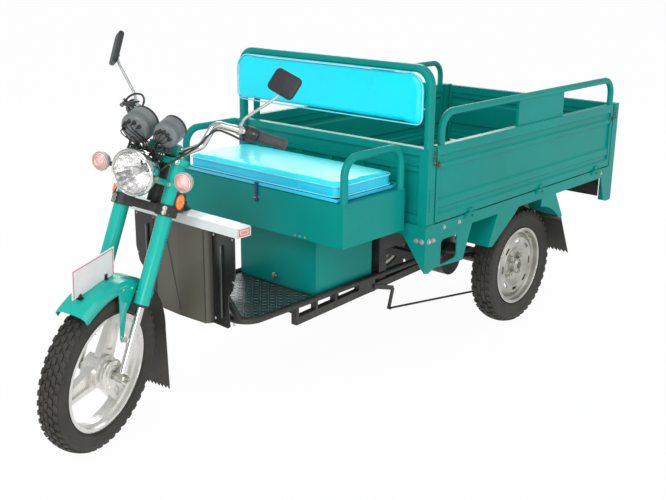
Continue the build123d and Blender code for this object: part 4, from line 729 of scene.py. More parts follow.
def slab(outline, thickness, edge):
    """A slab on an outline in metres, extruded up from Z = 0, with its rims rounded."""
    select_none()
    bpy.ops.mesh.primitive_circle_add(vertices=len(outline), fill_type="NGON")
    piece = bpy.context.object
    for vertex, (x, y) in zip(piece.data.vertices, outline):
        vertex.co = (x, y, 0)
    edit(piece)
    bpy.ops.mesh.extrude_region_move(TRANSFORM_OT_translate={"value": (0, 0, thickness)})
    bpy.ops.mesh.select_all(action="SELECT")
    bpy.ops.mesh.normals_make_consistent(inside=False)
    bpy.ops.object.mode_set(mode="OBJECT")
    rim = piece.modifiers.new("rim", "BEVEL")
    rim.width, rim.segments, rim.limit_method, rim.angle_limit = edge, 3, "ANGLE", math.radians(50)
    bpy.ops.object.modifier_apply(modifier="rim")
    return piece


def puffed(piece, cap, swell, keep_flat):
    """Blow a pad up with the cloth solver.

    A point moves as far as swell lets it along each axis, and never further than cap. keep_flat holds the
    side that rests on something.
    """
    remesh = piece.modifiers.new("remesh", "REMESH")
    remesh.mode, remesh.voxel_size = "VOXEL", VOXEL
    pick(piece)
    bpy.ops.object.modifier_apply(modifier="remesh")
    before = [vertex.co.copy() for vertex in piece.data.vertices]
    cloth = piece.modifiers.new("cloth", "CLOTH")
    cloth.settings.use_pressure = True
    cloth.settings.uniform_pressure_force = PRESSURE
    cloth.settings.effector_weights.gravity = 0.0
    for number in range(1, CLOTH_FRAMES + 1):
        bpy.context.scene.frame_set(number)
    bpy.ops.object.modifier_apply(modifier="cloth")
    bpy.context.scene.frame_set(1)
    for vertex, start in zip(piece.data.vertices, before):
        move = (vertex.co - start) * swell
        if move.length > cap:
            move *= cap / move.length
        vertex.co = start + move * (0.0 if keep_flat(start) else 1.0)
    smooth = piece.modifiers.new("smooth", "SMOOTH")
    smooth.factor, smooth.iterations = 0.5, 2
    bpy.ops.object.modifier_apply(modifier="smooth")
    fine = piece.modifiers.new("fine", "SUBSURF")
    fine.levels = 1
    bpy.ops.object.modifier_apply(modifier="fine")
    return piece


print("padding ready, grid of", VOXEL, "m")

# %% [markdown]
# The seat cushion lies on its lid board. Its top panel is one piece of vinyl, painted lighter as painted
# light, and a strip of a deeper blue runs round the sides, with a piped seam between the two.

# %% Seat cushion
low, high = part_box("seat_cushion")
width, depth, thick = high - low
centre = (low + high) / 2
outline = rounded_outline(width - SIDE_SLACK, depth - SIDE_SLACK, (0.030,) * 4)
seam_z = low.z + thick - 0.009
seat = slab(outline, thick - 0.007, EDGE_ROUND)
seat.location = (centre.x, centre.y, low.z + 0.0008)
bpy.ops.object.transform_apply(location=True, rotation=False, scale=False)
seat = puffed(seat, 0.008, Vector((0.25, 0.25, 1.0)), lambda p: p.z < low.z + 0.004)
for vertex in seat.data.vertices:
    across = min(1.0, abs(vertex.co.x - centre.x) / (width / 2))
    along = min(1.0, abs(vertex.co.y - centre.y) / (depth / 2))
    if vertex.co.z > low.z + 0.02:
        vertex.co.z += 0.0035 * (1 - across ** 4) * (1 - along ** 4) - 0.001
    vertex.co.z = min(max(vertex.co.z, low.z + 0.0004), high.z + 0.004)
# The sides get the side vinyl; the top keeps the lighter vinyl, which is painted light.
paint_faces(seat, 1, lambda p, n: n.z < 0.55 and p.z < seam_z)
kept(seat, "seat_cushion_pad", [seat_vinyl_painted_light, vinyl_side], "seat_cover", ["seat_cushion"],
     angle=60)
seam = rounded_outline(width - 0.004, depth - 0.004, (0.031,) * 4)
pipes = []
for height in (seam_z, low.z + 0.005):
    ring = [(centre.x + x, centre.y + y, height) for x, y in seam]
    pipes.append(wire(ring, PIPE_R, closed=True, smooth=False))
kept(pipes, "seat_cushion_piping", piping, "seat_cover", angle=60)
print("seat cushion", len(seat.data.polygons), "faces")

# %% [markdown]
# The back rest pad follows the hoop, so its upper corners are round and its lower ones nearly square. It
# stands upright, so it is made lying down and then tipped up onto its face.

# %% Back rest cushion
low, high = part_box("backrest_cushion")
width, thick, tall = high - low
centre = (low + high) / 2
outline = rounded_outline(width - SIDE_SLACK, tall - SIDE_SLACK, (0.055, 0.055, 0.022, 0.022))
pad = slab(outline, thick - 0.005, EDGE_ROUND)
pad = placed(pad, (centre.x, high.y - 0.0008, centre.z), FORWARD, LEFTWARD)
pad = puffed(pad, 0.006, Vector((0.25, 1.0, 0.25)), lambda p: p.y > high.y - 0.004)
for vertex in pad.data.vertices:
    across = min(1.0, abs(vertex.co.x - centre.x) / (width / 2))
    upward = min(1.0, abs(vertex.co.z - centre.z) / (tall / 2))
    if vertex.co.y < high.y - 0.012:
        vertex.co.y -= 0.003 * (1 - across ** 4) * (1 - upward ** 4)
    vertex.co.y = min(max(vertex.co.y, low.y - 0.004), high.y - 0.0004)
kept(pad, "backrest_cushion_pad", vinyl, "chassis", ["backrest_cushion"], angle=60)
seam = rounded_outline(width - 0.003, tall - 0.003, (0.057, 0.057, 0.024, 0.024))
ring = [(centre.x + x, low.y + 0.007, centre.z + z) for x, z in seam]
pipe = wire(ring, PIPE_R, closed=True, smooth=False)
kept(pipe, "backrest_cushion_piping", piping, "chassis", angle=60)
print("back rest cushion", len(pad.data.polygons), "faces")

# %% [markdown]
# A tyre is a turned carcass with raised blocks. The crown is divided into rows of faces. In each row,
# runs of faces are inset and pushed outwards, which leaves the grooves between them. Skewing the rows
# first makes the blocks lean into a chevron, as on a road tyre. Two thin ribs mark the sidewall.

# %% Tyres
TREAD, BLOCK_INSET = 5.5, 0.0012
CROWN_ROWS = [-0.90, -0.54, -0.18, 0.18, 0.54, 0.90]
FRONT_TYRE = {"radius": 247.4, "half": 37.2, "rim_r": 182.4, "rim_half": 28.4, "columns": 144, "skew": 0.10,
              "pattern": [(2, 1, 0), (2, 1, 1), (2, 1, 2), (2, 1, 1), (2, 1, 0)]}
REAR_TYRE = {"radius": 233.6, "half": 43.2, "rim_r": 153.0, "rim_half": 36.0, "columns": 132, "skew": 0.08,
             "pattern": [(2, 1, 0), (5, 1, 2), (5, 1, 5), (5, 1, 2), (2, 1, 0)]}


def tyre(radius, half, rim_r, rim_half, columns, skew, pattern):
    """A treaded tyre about Z. pattern has one (run, gap, shift) for each of the five rows of the crown."""
    base = radius - TREAD
    shoulder_r = radius - 0.34 * half
    waist_r = (rim_r + radius) / 2 + 2
    crown = []
    for share in CROWN_ROWS:
        drop = (base - shoulder_r) * (abs(share) / CROWN_ROWS[-1]) ** 2.2
        crown.append((base - drop, share * half))
    side = [(waist_r + 0.62 * (shoulder_r - waist_r), 0.975 * half), (waist_r + 8, 0.995 * half),
            (waist_r + 6, 1.0 * half), (waist_r + 4, 0.985 * half), (waist_r - 6, 0.98 * half),
            (rim_r + 12, 0.90 * half), (rim_r + 10.5, 0.915 * half), (rim_r + 8.5, 0.88 * half),
            (rim_r + 3, 0.74 * half), (rim_r - 2, rim_half - 5.5), (rim_r - 5, rim_half - 8)]
    lower = [(r, -x) for r, x in reversed(side)]
    bore = [(rim_r - 4.5, 0)]
    profile = lower + crown + side + bore + lower[:1]
    piece = turned(profile, steps=columns)
    for vertex in piece.data.vertices:
        r = math.hypot(vertex.co.x, vertex.co.y)
        if r > (shoulder_r - 3) * MM:
            a = math.atan2(vertex.co.y, vertex.co.x) + skew * abs(vertex.co.z) / (half * MM)
            vertex.co.x, vertex.co.y = r * math.cos(a), r * math.sin(a)
    for row, (run, gap, shift) in enumerate(pattern):
        edit(piece)
        bpy.ops.mesh.select_mode(type="FACE")
        bpy.ops.mesh.select_all(action="DESELECT")
        bpy.ops.object.mode_set(mode="OBJECT")
        lo, hi = CROWN_ROWS[row] * half * MM, CROWN_ROWS[row + 1] * half * MM
        for face in piece.data.polygons:
            c = face.center
            if not lo < c.z < hi or math.hypot(c.x, c.y) < (shoulder_r - 2) * MM:
                continue
            lean = skew * abs(c.z) / (half * MM)
            column = round((math.atan2(c.y, c.x) - lean) / math.tau * columns - 0.5) % columns
            face.select = (column + shift) % (run + gap) < run
        bpy.ops.object.mode_set(mode="EDIT")
        bpy.ops.mesh.inset(thickness=BLOCK_INSET, depth=0, use_even_offset=True)
        bpy.ops.mesh.extrude_region_shrink_fatten(TRANSFORM_OT_shrink_fatten={"value": TREAD * MM * 0.97})
        bpy.ops.object.mode_set(mode="OBJECT")
    limit = (radius - 0.1) * MM  # the blocks stay inside the outline of the CAD tyre
    for vertex in piece.data.vertices:
        r = math.hypot(vertex.co.x, vertex.co.y)
        if r > limit:
            vertex.co.x, vertex.co.y = vertex.co.x * limit / r, vertex.co.y * limit / r
        vertex.co.z = max(-half * MM, min(half * MM, vertex.co.z))
    return piece


front_tyre = placed(tyre(**FRONT_TYRE), Vector(spin["pos_m"]), FORK_LEFT)
kept(front_tyre, "front_tyre_treaded", rubber, "front_wheel", ["front_tyre"], angle=40)
for side in ("left", "right"):
    hub = joints[f"rear_wheel_{side}_spin"]
    piece = placed(tyre(**REAR_TYRE), Vector(hub["pos_m"]), LEFTWARD)
    kept(piece, f"rear_tyre_{side}_treaded", rubber, f"rear_wheel_{side}",
         [f"rear_tyre_{side}"], angle=40)
print("tyre faces", len(front_tyre.data.polygons), len(piece.data.polygons))

# %% [markdown]
# The headlight is a pressed chrome bowl with a rolled ring in front. Behind a thin glass dome sits a
# faceted reflector with a capped bulb. Facets come from spinning the reflector in few steps and shading
# it flat. Two ears clamped to the fork tubes hold the bowl.

# %% Headlight
LAMP = on_fork(0, -157, 583)
LAMP_R, EAR_Z = 70.0, 577.0
bowl = turned([(0, -91), (26, -85), (48, -65), (61.5, -36), (65.5, -6), (63, -6), (59.5, -36), (46, -63),
               (25, -82.5), (0, -88.5)], steps=64)
kept(placed(bowl, LAMP, AHEAD, FORK_LEFT), "headlight_bowl", chrome, "steering",
     ["headlight"])
ring = turned([(64, -8), (67, -8), (67.6, -5), (LAMP_R - 0.4, -4), (LAMP_R, 0), (LAMP_R - 0.4, 7),
               (67, 10.5), (64.5, 11.5), (62.5, 10.5), (61.5, 8.5), (60.2, 8), (60.2, 6), (64, 4),
               (64, -8)], steps=72)
kept(placed(ring, LAMP, AHEAD, FORK_LEFT), "headlight_ring", chrome, "steering")
mirror = turned([(61.5, 5), (58.5, -8), (51, -29), (39, -46.5), (23, -58.5), (9, -63), (9, -65), (24, -61),
                 (40.5, -49), (53, -31), (60.5, -8), (62.5, 5), (61.5, 5)], steps=26)
kept(placed(mirror, LAMP, AHEAD, FORK_LEFT), "headlight_reflector", reflector_bowl, "steering",
     angle=4)
bulb = joined([turned([(0, -66), (11, -66), (11, -56), (7, -54), (7, -34), (4, -27), (0, -25)], steps=24),
               turned([(0, -26), (11, -27), (13, -24), (12, -13), (0, -10)], steps=24)])
kept(placed(bulb, LAMP, AHEAD, FORK_LEFT), "headlight_bulb", grey_plastic, "steering")
dome = [(62.4, 7), (56, 14.5), (44, 20), (24, 24.4), (0, 26)]
inside = [(r * 0.97, z - 1.6) for r, z in dome]
lens = turned(dome + inside[::-1] + dome[:1], steps=64)
kept(placed(lens, LAMP, AHEAD, FORK_LEFT), "headlight_lens", lamp_glass, "steering",
     angle=50)
ears, ear_bolts = [], []
for side in (-1, 1):
    band = turned([(23.2, -8), (26.5, -8), (27.2, -7), (27.2, 7), (26.5, 8), (23.2, 8), (23.2, -8)],
                  steps=40)
    ears.append(placed(band, on_fork(side * LEG_X, LEG_Y, EAR_Z), FORK_UP, FORK_LEFT))
    start, end = on_fork(side * 72, -74, EAR_Z), on_fork(side * 66, -140, EAR_Z + 4)
    arm = plate(((end - start).length / MM + 12, 5.0, 17.0), 1.5)
    ears.append(placed(arm, (start + end) / 2, FORK_UP, end - start))
    ear_bolts.append(hex_bolt(on_fork(side * 69, -140, EAR_Z + 4), fork_way(side, 0, 0), 12, 7))
    ear_bolts.append(hex_bolt(on_fork(side * LEG_X, LEG_Y - 27, EAR_Z), fork_way(0, -1, 0), 9, 5))
kept(ears, "headlight_ears", teal_glossy_painted_light, "steering")
kept(ear_bolts, "headlight_ear_bolts", zinc, "steering")
print("headlight at", tuple(round(part, 3) for part in LAMP))

# %% [markdown]
# Each turn signal is a cup on a rubber stalk. Its lens is moulded in rings, so the light spreads: the
# profile goes up the dome in small steps, each with a ridge.

# %% Turn signals
LENS_R, RING_STEP, RIDGE = 25.6, 4.1, 1.6
cups, stalks = [], []
for side, name in ((-1, "right"), (1, "left")):
    spot = on_fork(side * 140, LEG_Y - 63, 593)
    cup = turned([(0, -26), (12, -25.5), (18, -23), (25, -12), (28, -1), (29, 1), (29, 5.5), (27, 5.8),
                  (26.4, 1), (22, -10), (0, -13)], steps=40)
    cups.append(placed(cup, spot, AHEAD, FORK_LEFT))
    profile = [(26.3, 1), (26.5, 6)]
    for k in range(6):
        outer, inner = LENS_R - RING_STEP * k, LENS_R - RING_STEP * (k + 0.55)
        for r, ridge in ((outer, 0.0), (outer - 0.5, RIDGE), (inner, RIDGE), (inner - 0.5, 0.0)):
            profile.append((max(r, 0.6), 6 + 12.6 * (1 - (r / 26.5) ** 2) + ridge))
    profile.append((0, 19.2))
    lens = turned(profile, steps=40)
    paint_faces(lens, 1, lambda p, n: (LENS_R - math.hypot(p.x, p.y) / MM) / RING_STEP % 1 > 0.62)
    kept(placed(lens, spot, AHEAD, FORK_LEFT), f"signal_lens_{name}", [signal_pink, signal_ring],
         "steering", angle=25)
    start, end = on_fork(side * 92, LEG_Y - 16, 593), on_fork(side * 131, LEG_Y - 55, 593)
    bell = [(0, 0), (11, 0), (11, 4), (8, 7), (7, 12), (7, (end - start).length / MM)]
    stalks.append(lathed(bell + [(0, (end - start).length / MM)], 24, start, end - start))
kept(cups, "signal_cups", grey_plastic, "steering", ["turn_signals"])
kept(stalks, "signal_stalks", black_plastic, "steering")
print("turn signals", len(cups))

# %% [markdown]
# Two round instruments stand on a bracket over the yoke and tilt towards the rider, so that their
# undersides show from ahead, with three moulded grooves round each case. The dials have plain ticks and a
# needle.

# %% Instruments
GAUGES = [(1, 39.0), (-1, 47.0)]  # side and radius
GAUGE_TILT = math.radians(50)
GAUGE_AXIS = fork_way(0, math.sin(GAUGE_TILT), math.cos(GAUGE_TILT))
TICKS, FIRST_TICK, TICK_TURN = 28, 225, 10  # count, then degrees
barrels, bezels, faces, marks, needles, panes = [], [], [], [], [], []


def gauge_spot(side):
    """The middle of a gauge."""
    return on_fork(side * 50, -108, 722)


def on_dial(piece, spot, x, y, z, angle):
    """Lay a flat mark on a gauge's dial: x, y and z mm from its middle, turned in the plane of the dial."""
    piece.location = (x * MM, y * MM, z * MM)
    piece.rotation_euler = (0, 0, angle)
    bpy.ops.object.transform_apply(location=True, rotation=True, scale=False)
    return placed(piece, spot, GAUGE_AXIS, FORK_LEFT)


for side, r in GAUGES:
    spot = gauge_spot(side)
    profile = [(0, -35.5), (r - 14, -35.5), (r - 13, -33), (r - 5, -31), (r - 1.2, -26), (r, -22)]
    for groove in (-17, -11.5, -6):
        profile += [(r, groove - 1), (r - 1.8, groove - 0.6), (r - 1.8, groove + 0.6), (r, groove + 1)]
    profile += [(r, 22), (r - 1.5, 23.5), (r - 5, 24), (r - 5, 20), (0, 20)]
    rim = [(r - 6, 22), (r - 0.6, 23.5), (r, 25), (r, 30.5), (r - 1.5, 32), (r - 4, 32), (r - 6, 29.5),
           (r - 6, 22)]
    face = [(0, 24), (r - 6, 24), (r - 6, 25.5), (0, 25.5)]
    boss = [(0, 25.5), (3.5, 25.5), (3.5, 28), (2.5, 28.6), (0, 28.6)]
    pane = [(r - 6.2, 28.6), (r - 14, 30), (0, 31), (0, 30.2), (r - 14, 29.2), (r - 6.2, 27.8),
            (r - 6.2, 28.6)]
    barrels.append(lathed(profile, 64, spot, GAUGE_AXIS, FORK_LEFT))
    bezels.append(lathed(rim, 64, spot, GAUGE_AXIS, FORK_LEFT))
    faces.append(lathed(face, 48, spot, GAUGE_AXIS, FORK_LEFT))
    for k in range(TICKS):
        a = math.radians(FIRST_TICK - k * TICK_TURN)
        long = 6.0 if k % 3 == 0 else 3.0
        reach = r - 9 - long / 2
        marks.append(on_dial(plate((long, 0.9, 0.4), 0.1, 1), spot, reach * math.cos(a),
                             reach * math.sin(a), 25.7, a))
    back = -(r - 22) / 2 * 0.6
    needles.append(on_dial(plate((r - 12, 1.6, 0.7), 0.2, 1), spot, back, back, 27, math.radians(45)))
    needles.append(lathed(boss, 20, spot, GAUGE_AXIS))
    panes.append(lathed(pane, 48, spot, GAUGE_AXIS, FORK_LEFT))
kept(barrels, "gauge_barrels", gauge_plastic, "steering", ["gauges"])
kept(bezels, "gauge_bezels", black_plastic, "steering")
kept(faces, "gauge_faces", dial_face, "steering")
kept(marks, "gauge_marks", dial_mark, "steering")
kept(needles, "gauge_needles", needle_red, "steering")
kept(panes, "gauge_glass", lamp_glass, "steering")
print("gauges", len(GAUGES), "ticks", TICKS * len(GAUGES))

# %% [markdown]
# Bulb holders stick out of the undersides, and a wire leaves each of them. These wires gather behind the
# headlight, where a tangle of other wires joins them. The tangle is drawn at random from a fixed seed,
# which looks less drawn than any rule, and comes out the same each time.

# %% Bulb holders and wires
holders, wires = [], []
for side, r in GAUGES:
    for k in range(5):
        a = math.radians(200 + 35 * k + 18 * side)
        reach = (r - 17) * MM
        across = FORK_LEFT * math.cos(a) + GAUGE_AXIS.cross(FORK_LEFT) * math.sin(a)
        foot = gauge_spot(side) + across * reach
        holder = [(0, -44), (4, -44), (4.8, -42.5), (4.8, -38), (6.2, -37), (6.2, -34.5), (0, -34.5)]
        holders.append(lathed(holder, 16, foot, GAUGE_AXIS))
        tail = foot - GAUGE_AXIS * 0.043
        middle = on_fork(side * (26 - 5 * k), -112 + 4 * k, 655 + 3 * k)
        run = [tail, tail - GAUGE_AXIS * 0.010, middle, on_fork(side * 6, -104, 626),
               on_fork(side * 3, -98, 604)]
        wires.append(wire(run, 1.7, sides=3))
chance = random.Random(5)
for k in range(12):
    run = [on_fork(-70 + 11 * k, chance.uniform(-150, -120), chance.uniform(655, 690)),
           on_fork(-45 + 9 * k, chance.uniform(-128, -96), chance.uniform(625, 650)),
           on_fork(-20 + 4 * k, chance.uniform(-96, -70), chance.uniform(596, 622)),
           on_fork(-8 + 2 * k, -66, 572)]
    wires.append(wire(run, chance.choice((1.6, 2.0, 2.4)), sides=3))
kept(holders, "gauge_bulb_holders", black_plastic, "steering")
print("bulb holders", len(holders), "wires", len(wires))
kept(wires, "instrument_wires", flap_rubber, "steering", angle=60)

# %% [markdown]
# The bracket is a folded shelf on the yoke, with one post under each gauge.

# %% Gauge bracket
shelf = [block((124, 54, 4), 1.2, on_fork(0, -86, 662), FORK_UP, FORK_LEFT)]
for side in (-1, 1):
    post = [(0, 0), (8, 0), (8, 36), (11, 38), (11, 44), (0, 44)]
    shelf.append(block((27, 30, 6), 1.2, on_fork(side * 43, -52, 660), FORK_UP, FORK_LEFT))
    shelf.append(lathed(post, 24, on_fork(side * 50, -98, 661), fork_way(0, 0.05, 1), FORK_LEFT))
    shelf.append(hex_bolt(on_fork(side * 36, -74, 664), FORK_UP, 10, 5))
print("bracket parts", len(shelf))
kept(shelf, "gauge_bracket", frame_black, "steering")

# %% [markdown]
# The grips are ribbed rubber sleeves over the bar, and the housing inboard of each carries three
# switches. The ribs are part of the turned profile, so one spin makes the whole sleeve.

# %% Grips and switches
SHOULDER, ELBOW, TIP = (130.0, -6.0, 785.0), (190.0, 58.0, 789.0), (276.0, 180.0, 791.0)
GRIP_RIBS = 16
SWITCHES = {"horn_buttons": (16, grip_rubber), "lamp_switches": (27, gauge_plastic),
            "signal_switches": (38, grip_rubber)}


def on_bar(side, point):
    """A corner of the handlebar on one side."""
    return on_fork(side * point[0], point[1], point[2])


sleeves, housings, buttons = [], [], {title: [] for title in SWITCHES}
for side in (-1, 1):
    elbow, tip = on_bar(side, ELBOW), on_bar(side, TIP)
    run = (tip - elbow).normalized()
    length = (tip - elbow).length / MM
    ribs = [(12, 0.33 * length), (18.5, 0.33 * length), (18.5, 0.33 * length + 3)]
    start = 0.33 * length + 5
    step = (length - start) / GRIP_RIBS
    for k in range(GRIP_RIBS):
        z = start + step * k
        ribs += [(15.4, z), (16.4, z + 0.6), (16.4, z + step * 0.55), (15.4, z + step * 0.65)]
    ribs += [(17.5, length), (17.5, length + 3.5), (15, length + 5), (0, length + 5)]
    sleeves.append(lathed(ribs, 36, elbow, run))
    shell = [(12, 7.5), (19, 7.5), (22, 10), (22, 24), (21.2, 24.6), (21.2, 25.6), (22, 26.2), (22, 40),
             (19, 46), (12, 47.5)]
    housings.append(lathed(shell, 40, elbow, run))
    housings.append(block((16, 26, 32), 5, elbow + run * 0.026 - FORK_UP * 0.021, run, FORK_UP, segments=3))
    inner = run.cross(FORK_UP) * side
    for title, (along, paint) in SWITCHES.items():
        buttons[title].append(block((9, 7, 5), 1.5, elbow + run * along * MM + inner * 0.0215, inner, run))
kept(sleeves, "grip_sleeves", grip_rubber, "steering", ["grips"], angle=25)
kept(housings, "switch_housings", black_plastic, "steering", angle=30)
for title, (along, paint) in SWITCHES.items():
    kept(buttons[title], title, paint, "steering")
print("grips", len(sleeves), "switches", len(SWITCHES))

# %% [markdown]
# The brake lever and its perch are painted black, so they get a sleeve over the bright CAD bar.

# %% Brake lever
PERCH_BACK = 26.0
elbow, shoulder, tip = (on_bar(-1, point) for point in (ELBOW, SHOULDER, TIP))
run = (tip - elbow).normalized()
perch = elbow + (shoulder - elbow).normalized() * PERCH_BACK * MM
flat = fork_way(-run.dot(FORK_BACK), run.dot(FORK_LEFT), 0)
knee = perch + flat * 0.036 + run * 0.014
ball = [(0, -7), (5, -6.5), (7, -3), (7, 3), (5, 6.5), (0, 7)]
band = [(11.3, -9), (14.5, -9), (15.5, -8), (15.5, 8), (14.5, 9), (11.3, 9), (11.3, -9)]
lever = [wire([perch + flat * 0.004, knee], 9.0, smooth=False),
         wire([knee - run * 0.004, knee + run * 0.06 + flat * 0.0005, knee + run * 0.116], 5.6),
         lathed(ball, 20, knee + run * 0.118, run), lathed(band, 32, perch, elbow - shoulder),
         hex_bolt(knee + FORK_UP * 0.008, FORK_UP, 9, 5)]
print("lever parts", len(lever))
kept(lever, "brake_lever_black", black_plastic, "steering")

# %% [markdown]
# Each mirror is a black moulded shell on a bent satin rod. The left glass faces back, and the right
# mirror is folded in, so its thin edge points ahead.

# %% Mirrors
STEM = [(184, 51.4, 794), (186, 50, 806), (192, 46, 823), (206, 45.8, 838), (262, 44.3, 893),
        (274, 44, 905), (282, 42, 919), (288, 40, 934)]
MIRRORS = [(1, (0.93, -0.25, -0.28), (0.22, 0.97, -0.12)),  # side, the long way, the way the glass faces
           (-1, (-0.1, 0.15, 0.98), (0.74, 0.67, 0))]
stems, shells, panes = [], [], []
for side, across, out in MIRRORS:
    stems.append(wire([on_fork(side * x, y, z) for x, y, z in STEM], 4.6))
    collar = on_fork(side * 183.9, 51.4, 788.6)
    grip_way = on_bar(side, ELBOW) - on_bar(side, SHOULDER)
    band = turned([(11.2, -6), (14, -6), (15, -5), (15, 5), (14, 6), (11.2, 6), (11.2, -6)], steps=32)
    stems.append(placed(band, collar, grip_way))
    stems.append(hex_bolt(collar + FORK_UP * 0.012, FORK_UP, 12, 8))
    spot = on_fork(side * 292, 38, 949)
    out, across = fork_way(*out).normalized(), fork_way(*across)
    shell = slab(rounded_outline(0.104, 0.072, (0.016,) * 4, 5), 0.0155, 0.0052)
    shells.append(placed(shell, spot - out * 0.008, out, across))
    shells.append(lathed([(0, -12), (7, -12), (9, -9), (9, 6), (0, 6)], 20, on_fork(side * 289, 39.5, 934),
                         on_fork(side * 288, 40, 931) - on_fork(side * 274, 44, 905)))
    panes.append(placed(slab(rounded_outline(0.094, 0.062, (0.012,) * 4, 5), 0.0008, 0.0002),
                        spot + out * 0.0075, out, across))
kept(stems, "mirror_stems", satin_rod, "steering", ["mirrors"], angle=60)
kept(shells, "mirror_shells", black_plastic, "steering", angle=40)
kept(panes, "mirror_panes", mirror_glass, "steering")
print("mirrors", len(MIRRORS))

# %% [markdown]
# The fork carries pinch bolts on both clamps, a rubber seal where each tube slides over its leg, filler
# caps on top, and an amber reflector on a folded tab beside each tube. The brake hose runs down the left
# leg.

# %% Fork details
seals, bolts, tabs, ambers, clamps = [], [], [], [], []
for side in (-1, 1):
    for group, low, high, inner, r in ((seals, 213, 224, LEG_R + 0.2, 21.5),
                                       (clamps, 486, 519, TUBE_R + 0.2, TUBE_R + 9.5)):
        ring = [(inner, low), (r - 1.5, low), (r, low + 2), (r, high - 2), (r - 1.5, high), (inner, high),
                (inner, low)]
        group.append(lathed(ring, 40, on_fork(side * LEG_X, LEG_Y, 0), FORK_UP, FORK_LEFT))
    pinch = fork_way(side * 0.25, -1, 0)
    for height in (495, 508):
        bolts.append(hex_bolt(on_fork(side * (LEG_X + 10), LEG_Y - 31, height), pinch, 9, 6))
    bolts.append(hex_bolt(on_fork(side * (LEG_X + 8), LEG_Y - 28, 646), pinch, 10, 7))
    bolts.append(hex_bolt(on_fork(side * LEG_X, LEG_Y, 656), FORK_UP, 22, 6))
    out = fork_way(side * 0.72, -0.68, 0.1).normalized()
    spot = on_fork(side * (LEG_X + 34), LEG_Y + 2, 536)
    lens = turned([(0, -1), (12, -1), (12, 1.5), (10.5, 4.5), (7, 6.4), (0, 7.2)], steps=32)
    lens.scale = (1.9, 1.05, 1.0)
    pick(lens)
    bpy.ops.object.transform_apply(location=False, rotation=False, scale=True)
    ambers.append(placed(lens, spot + out * 0.002, out, FORK_UP))
    tabs.append(block((56, 31, 2.4), 8, spot, out, FORK_UP, segments=3))
    tabs.append(block((22, 26, 3), 1, on_fork(side * (LEG_X + 26), LEG_Y + 6, 516), out, FORK_UP))
    tabs.append(screw(spot + out * 0.008, out, 2.6, 1.6))
kept(seals, "fork_seals", flap_rubber, "steering")
kept(clamps, "fork_clamp_bands", frame_black, "steering")
kept(bolts, "fork_bolts", zinc, "steering")
kept(tabs, "reflector_tabs", black_plastic, "steering")
kept(ambers, "fork_reflectors", reflector_amber, "steering", angle=50)
hose = wire([on_fork(10, -96, 600), on_fork(34, -40, 560), on_fork(48, -4, 480), on_fork(46, 4, 400),
             on_fork(50, -8, 340), on_fork(62, -20, 300)], 3.4)
kept(hose, "front_brake_hose", flap_rubber, "steering", angle=60)
print("fork bolts", len(bolts))

# %% [markdown]
# A plain plate stands on the fender, blank, with a thin coloured line round it and two bent clips at its
# foot. The fender's free edges are rolled, and its straps are bolted to the legs.

# %% Plate and fender
AXLE = Vector(spin["pos_m"])
FENDER_TOP, FENDER_EDGE = 292, 257
FLAP_RIVETS = math.radians(109)


def by_axle(x, y, z):
    """A point in mm left, back and up from the front axle, in the fork's frame."""
    return AXLE + fork_way(x, y, z) * MM


PLATE_CORNERS = [(-275, 279), (-106, 366), (-66, 288), (-235, 203)]
middle = (sum(y for y, z in PLATE_CORNERS) / 4, sum(z for y, z in PLATE_CORNERS) / 4)
strips, clips, beads = [], [], []
inset = [(y + (middle[0] - y) * 0.05, z + (middle[1] - z) * 0.09) for y, z in PLATE_CORNERS]
for side in (-1, 1):
    for (y0, z0), (y1, z1) in ((inset[0], inset[1]), (inset[1], inset[2]), (inset[3], inset[0])):
        a, b = by_axle(side * 1.6, y0, z0), by_axle(side * 1.6, y1, z1)
        strips.append(block(((b - a).length / MM + 2.2, 2.2, 0.6), 0.15, (a + b) / 2, FORK_LEFT, b - a,
                            segments=1))
(y0, z0), (y1, z1) = PLATE_CORNERS[3], PLATE_CORNERS[2]
for share in (0.16, 0.78):
    y, z = y0 + (y1 - y0) * share, z0 + (z1 - z0) * share
    r = math.hypot(y, z)
    y, z = y / r * FENDER_TOP, z / r * FENDER_TOP
    for side in (-1, 1):
        clips.append(block((12, 16, 2.0), 0.6, by_axle(side * 3.2, y * 1.02, z * 1.02), FORK_LEFT,
                           fork_way(0, z, -y)))
        clips.append(screw(by_axle(side * 4.0, y * 1.032, z * 1.032), FORK_LEFT * side, 4.0, 3.0))
    clips.append(block((12, 20, 2.0), 0.6, by_axle(0, y * 0.998, z * 0.998), fork_way(0, y, z),
                       fork_way(0, z, -y)))
kept(strips, "plate_border_line", plate_red, "steering")
kept(clips, "plate_clips", frame_black, "steering")
for side in (-1, 1):
    turns = [math.radians(a) for a in range(36, 113, 4)]
    rolled = [by_axle(side * 50, -FENDER_EDGE * math.cos(a), FENDER_EDGE * math.sin(a)) for a in turns]
    beads.append(wire(rolled, 2.2, sides=3))
kept(beads, "fender_rolled_edges", teal_glossy_painted_light, "steering", angle=60)
strap_bolts = [hex_bolt(on_fork(side * 53, LEG_Y - 10, 108), fork_way(side, 0, 0), 9, 4)
               for side in (-1, 1)]
for side in (-1, 1):
    for y, z in ((-34, 262), (-78, 254)):
        strap_bolts.append(screw(on_fork(side * 52.5, LEG_Y + y, z), fork_way(side, 0, 0), 4.5, 2.5))
for x in (-28, 0, 28):
    strap_bolts.append(screw(by_axle(x, -289 * math.cos(FLAP_RIVETS), 289 * math.sin(FLAP_RIVETS)),
                             fork_way(0, 0.32, 0.94), 5, 3))
print("plate clips", len(clips), "fender bolts", len(strap_bolts))
kept(strap_bolts, "fender_bolts", zinc, "steering")

# %% [markdown]
# The left side of the front hub is the brake: a ribbed back plate, and a cam arm with its return spring
# and its cable. The wheel's right side has a dust cap, and its rim has a valve stem.

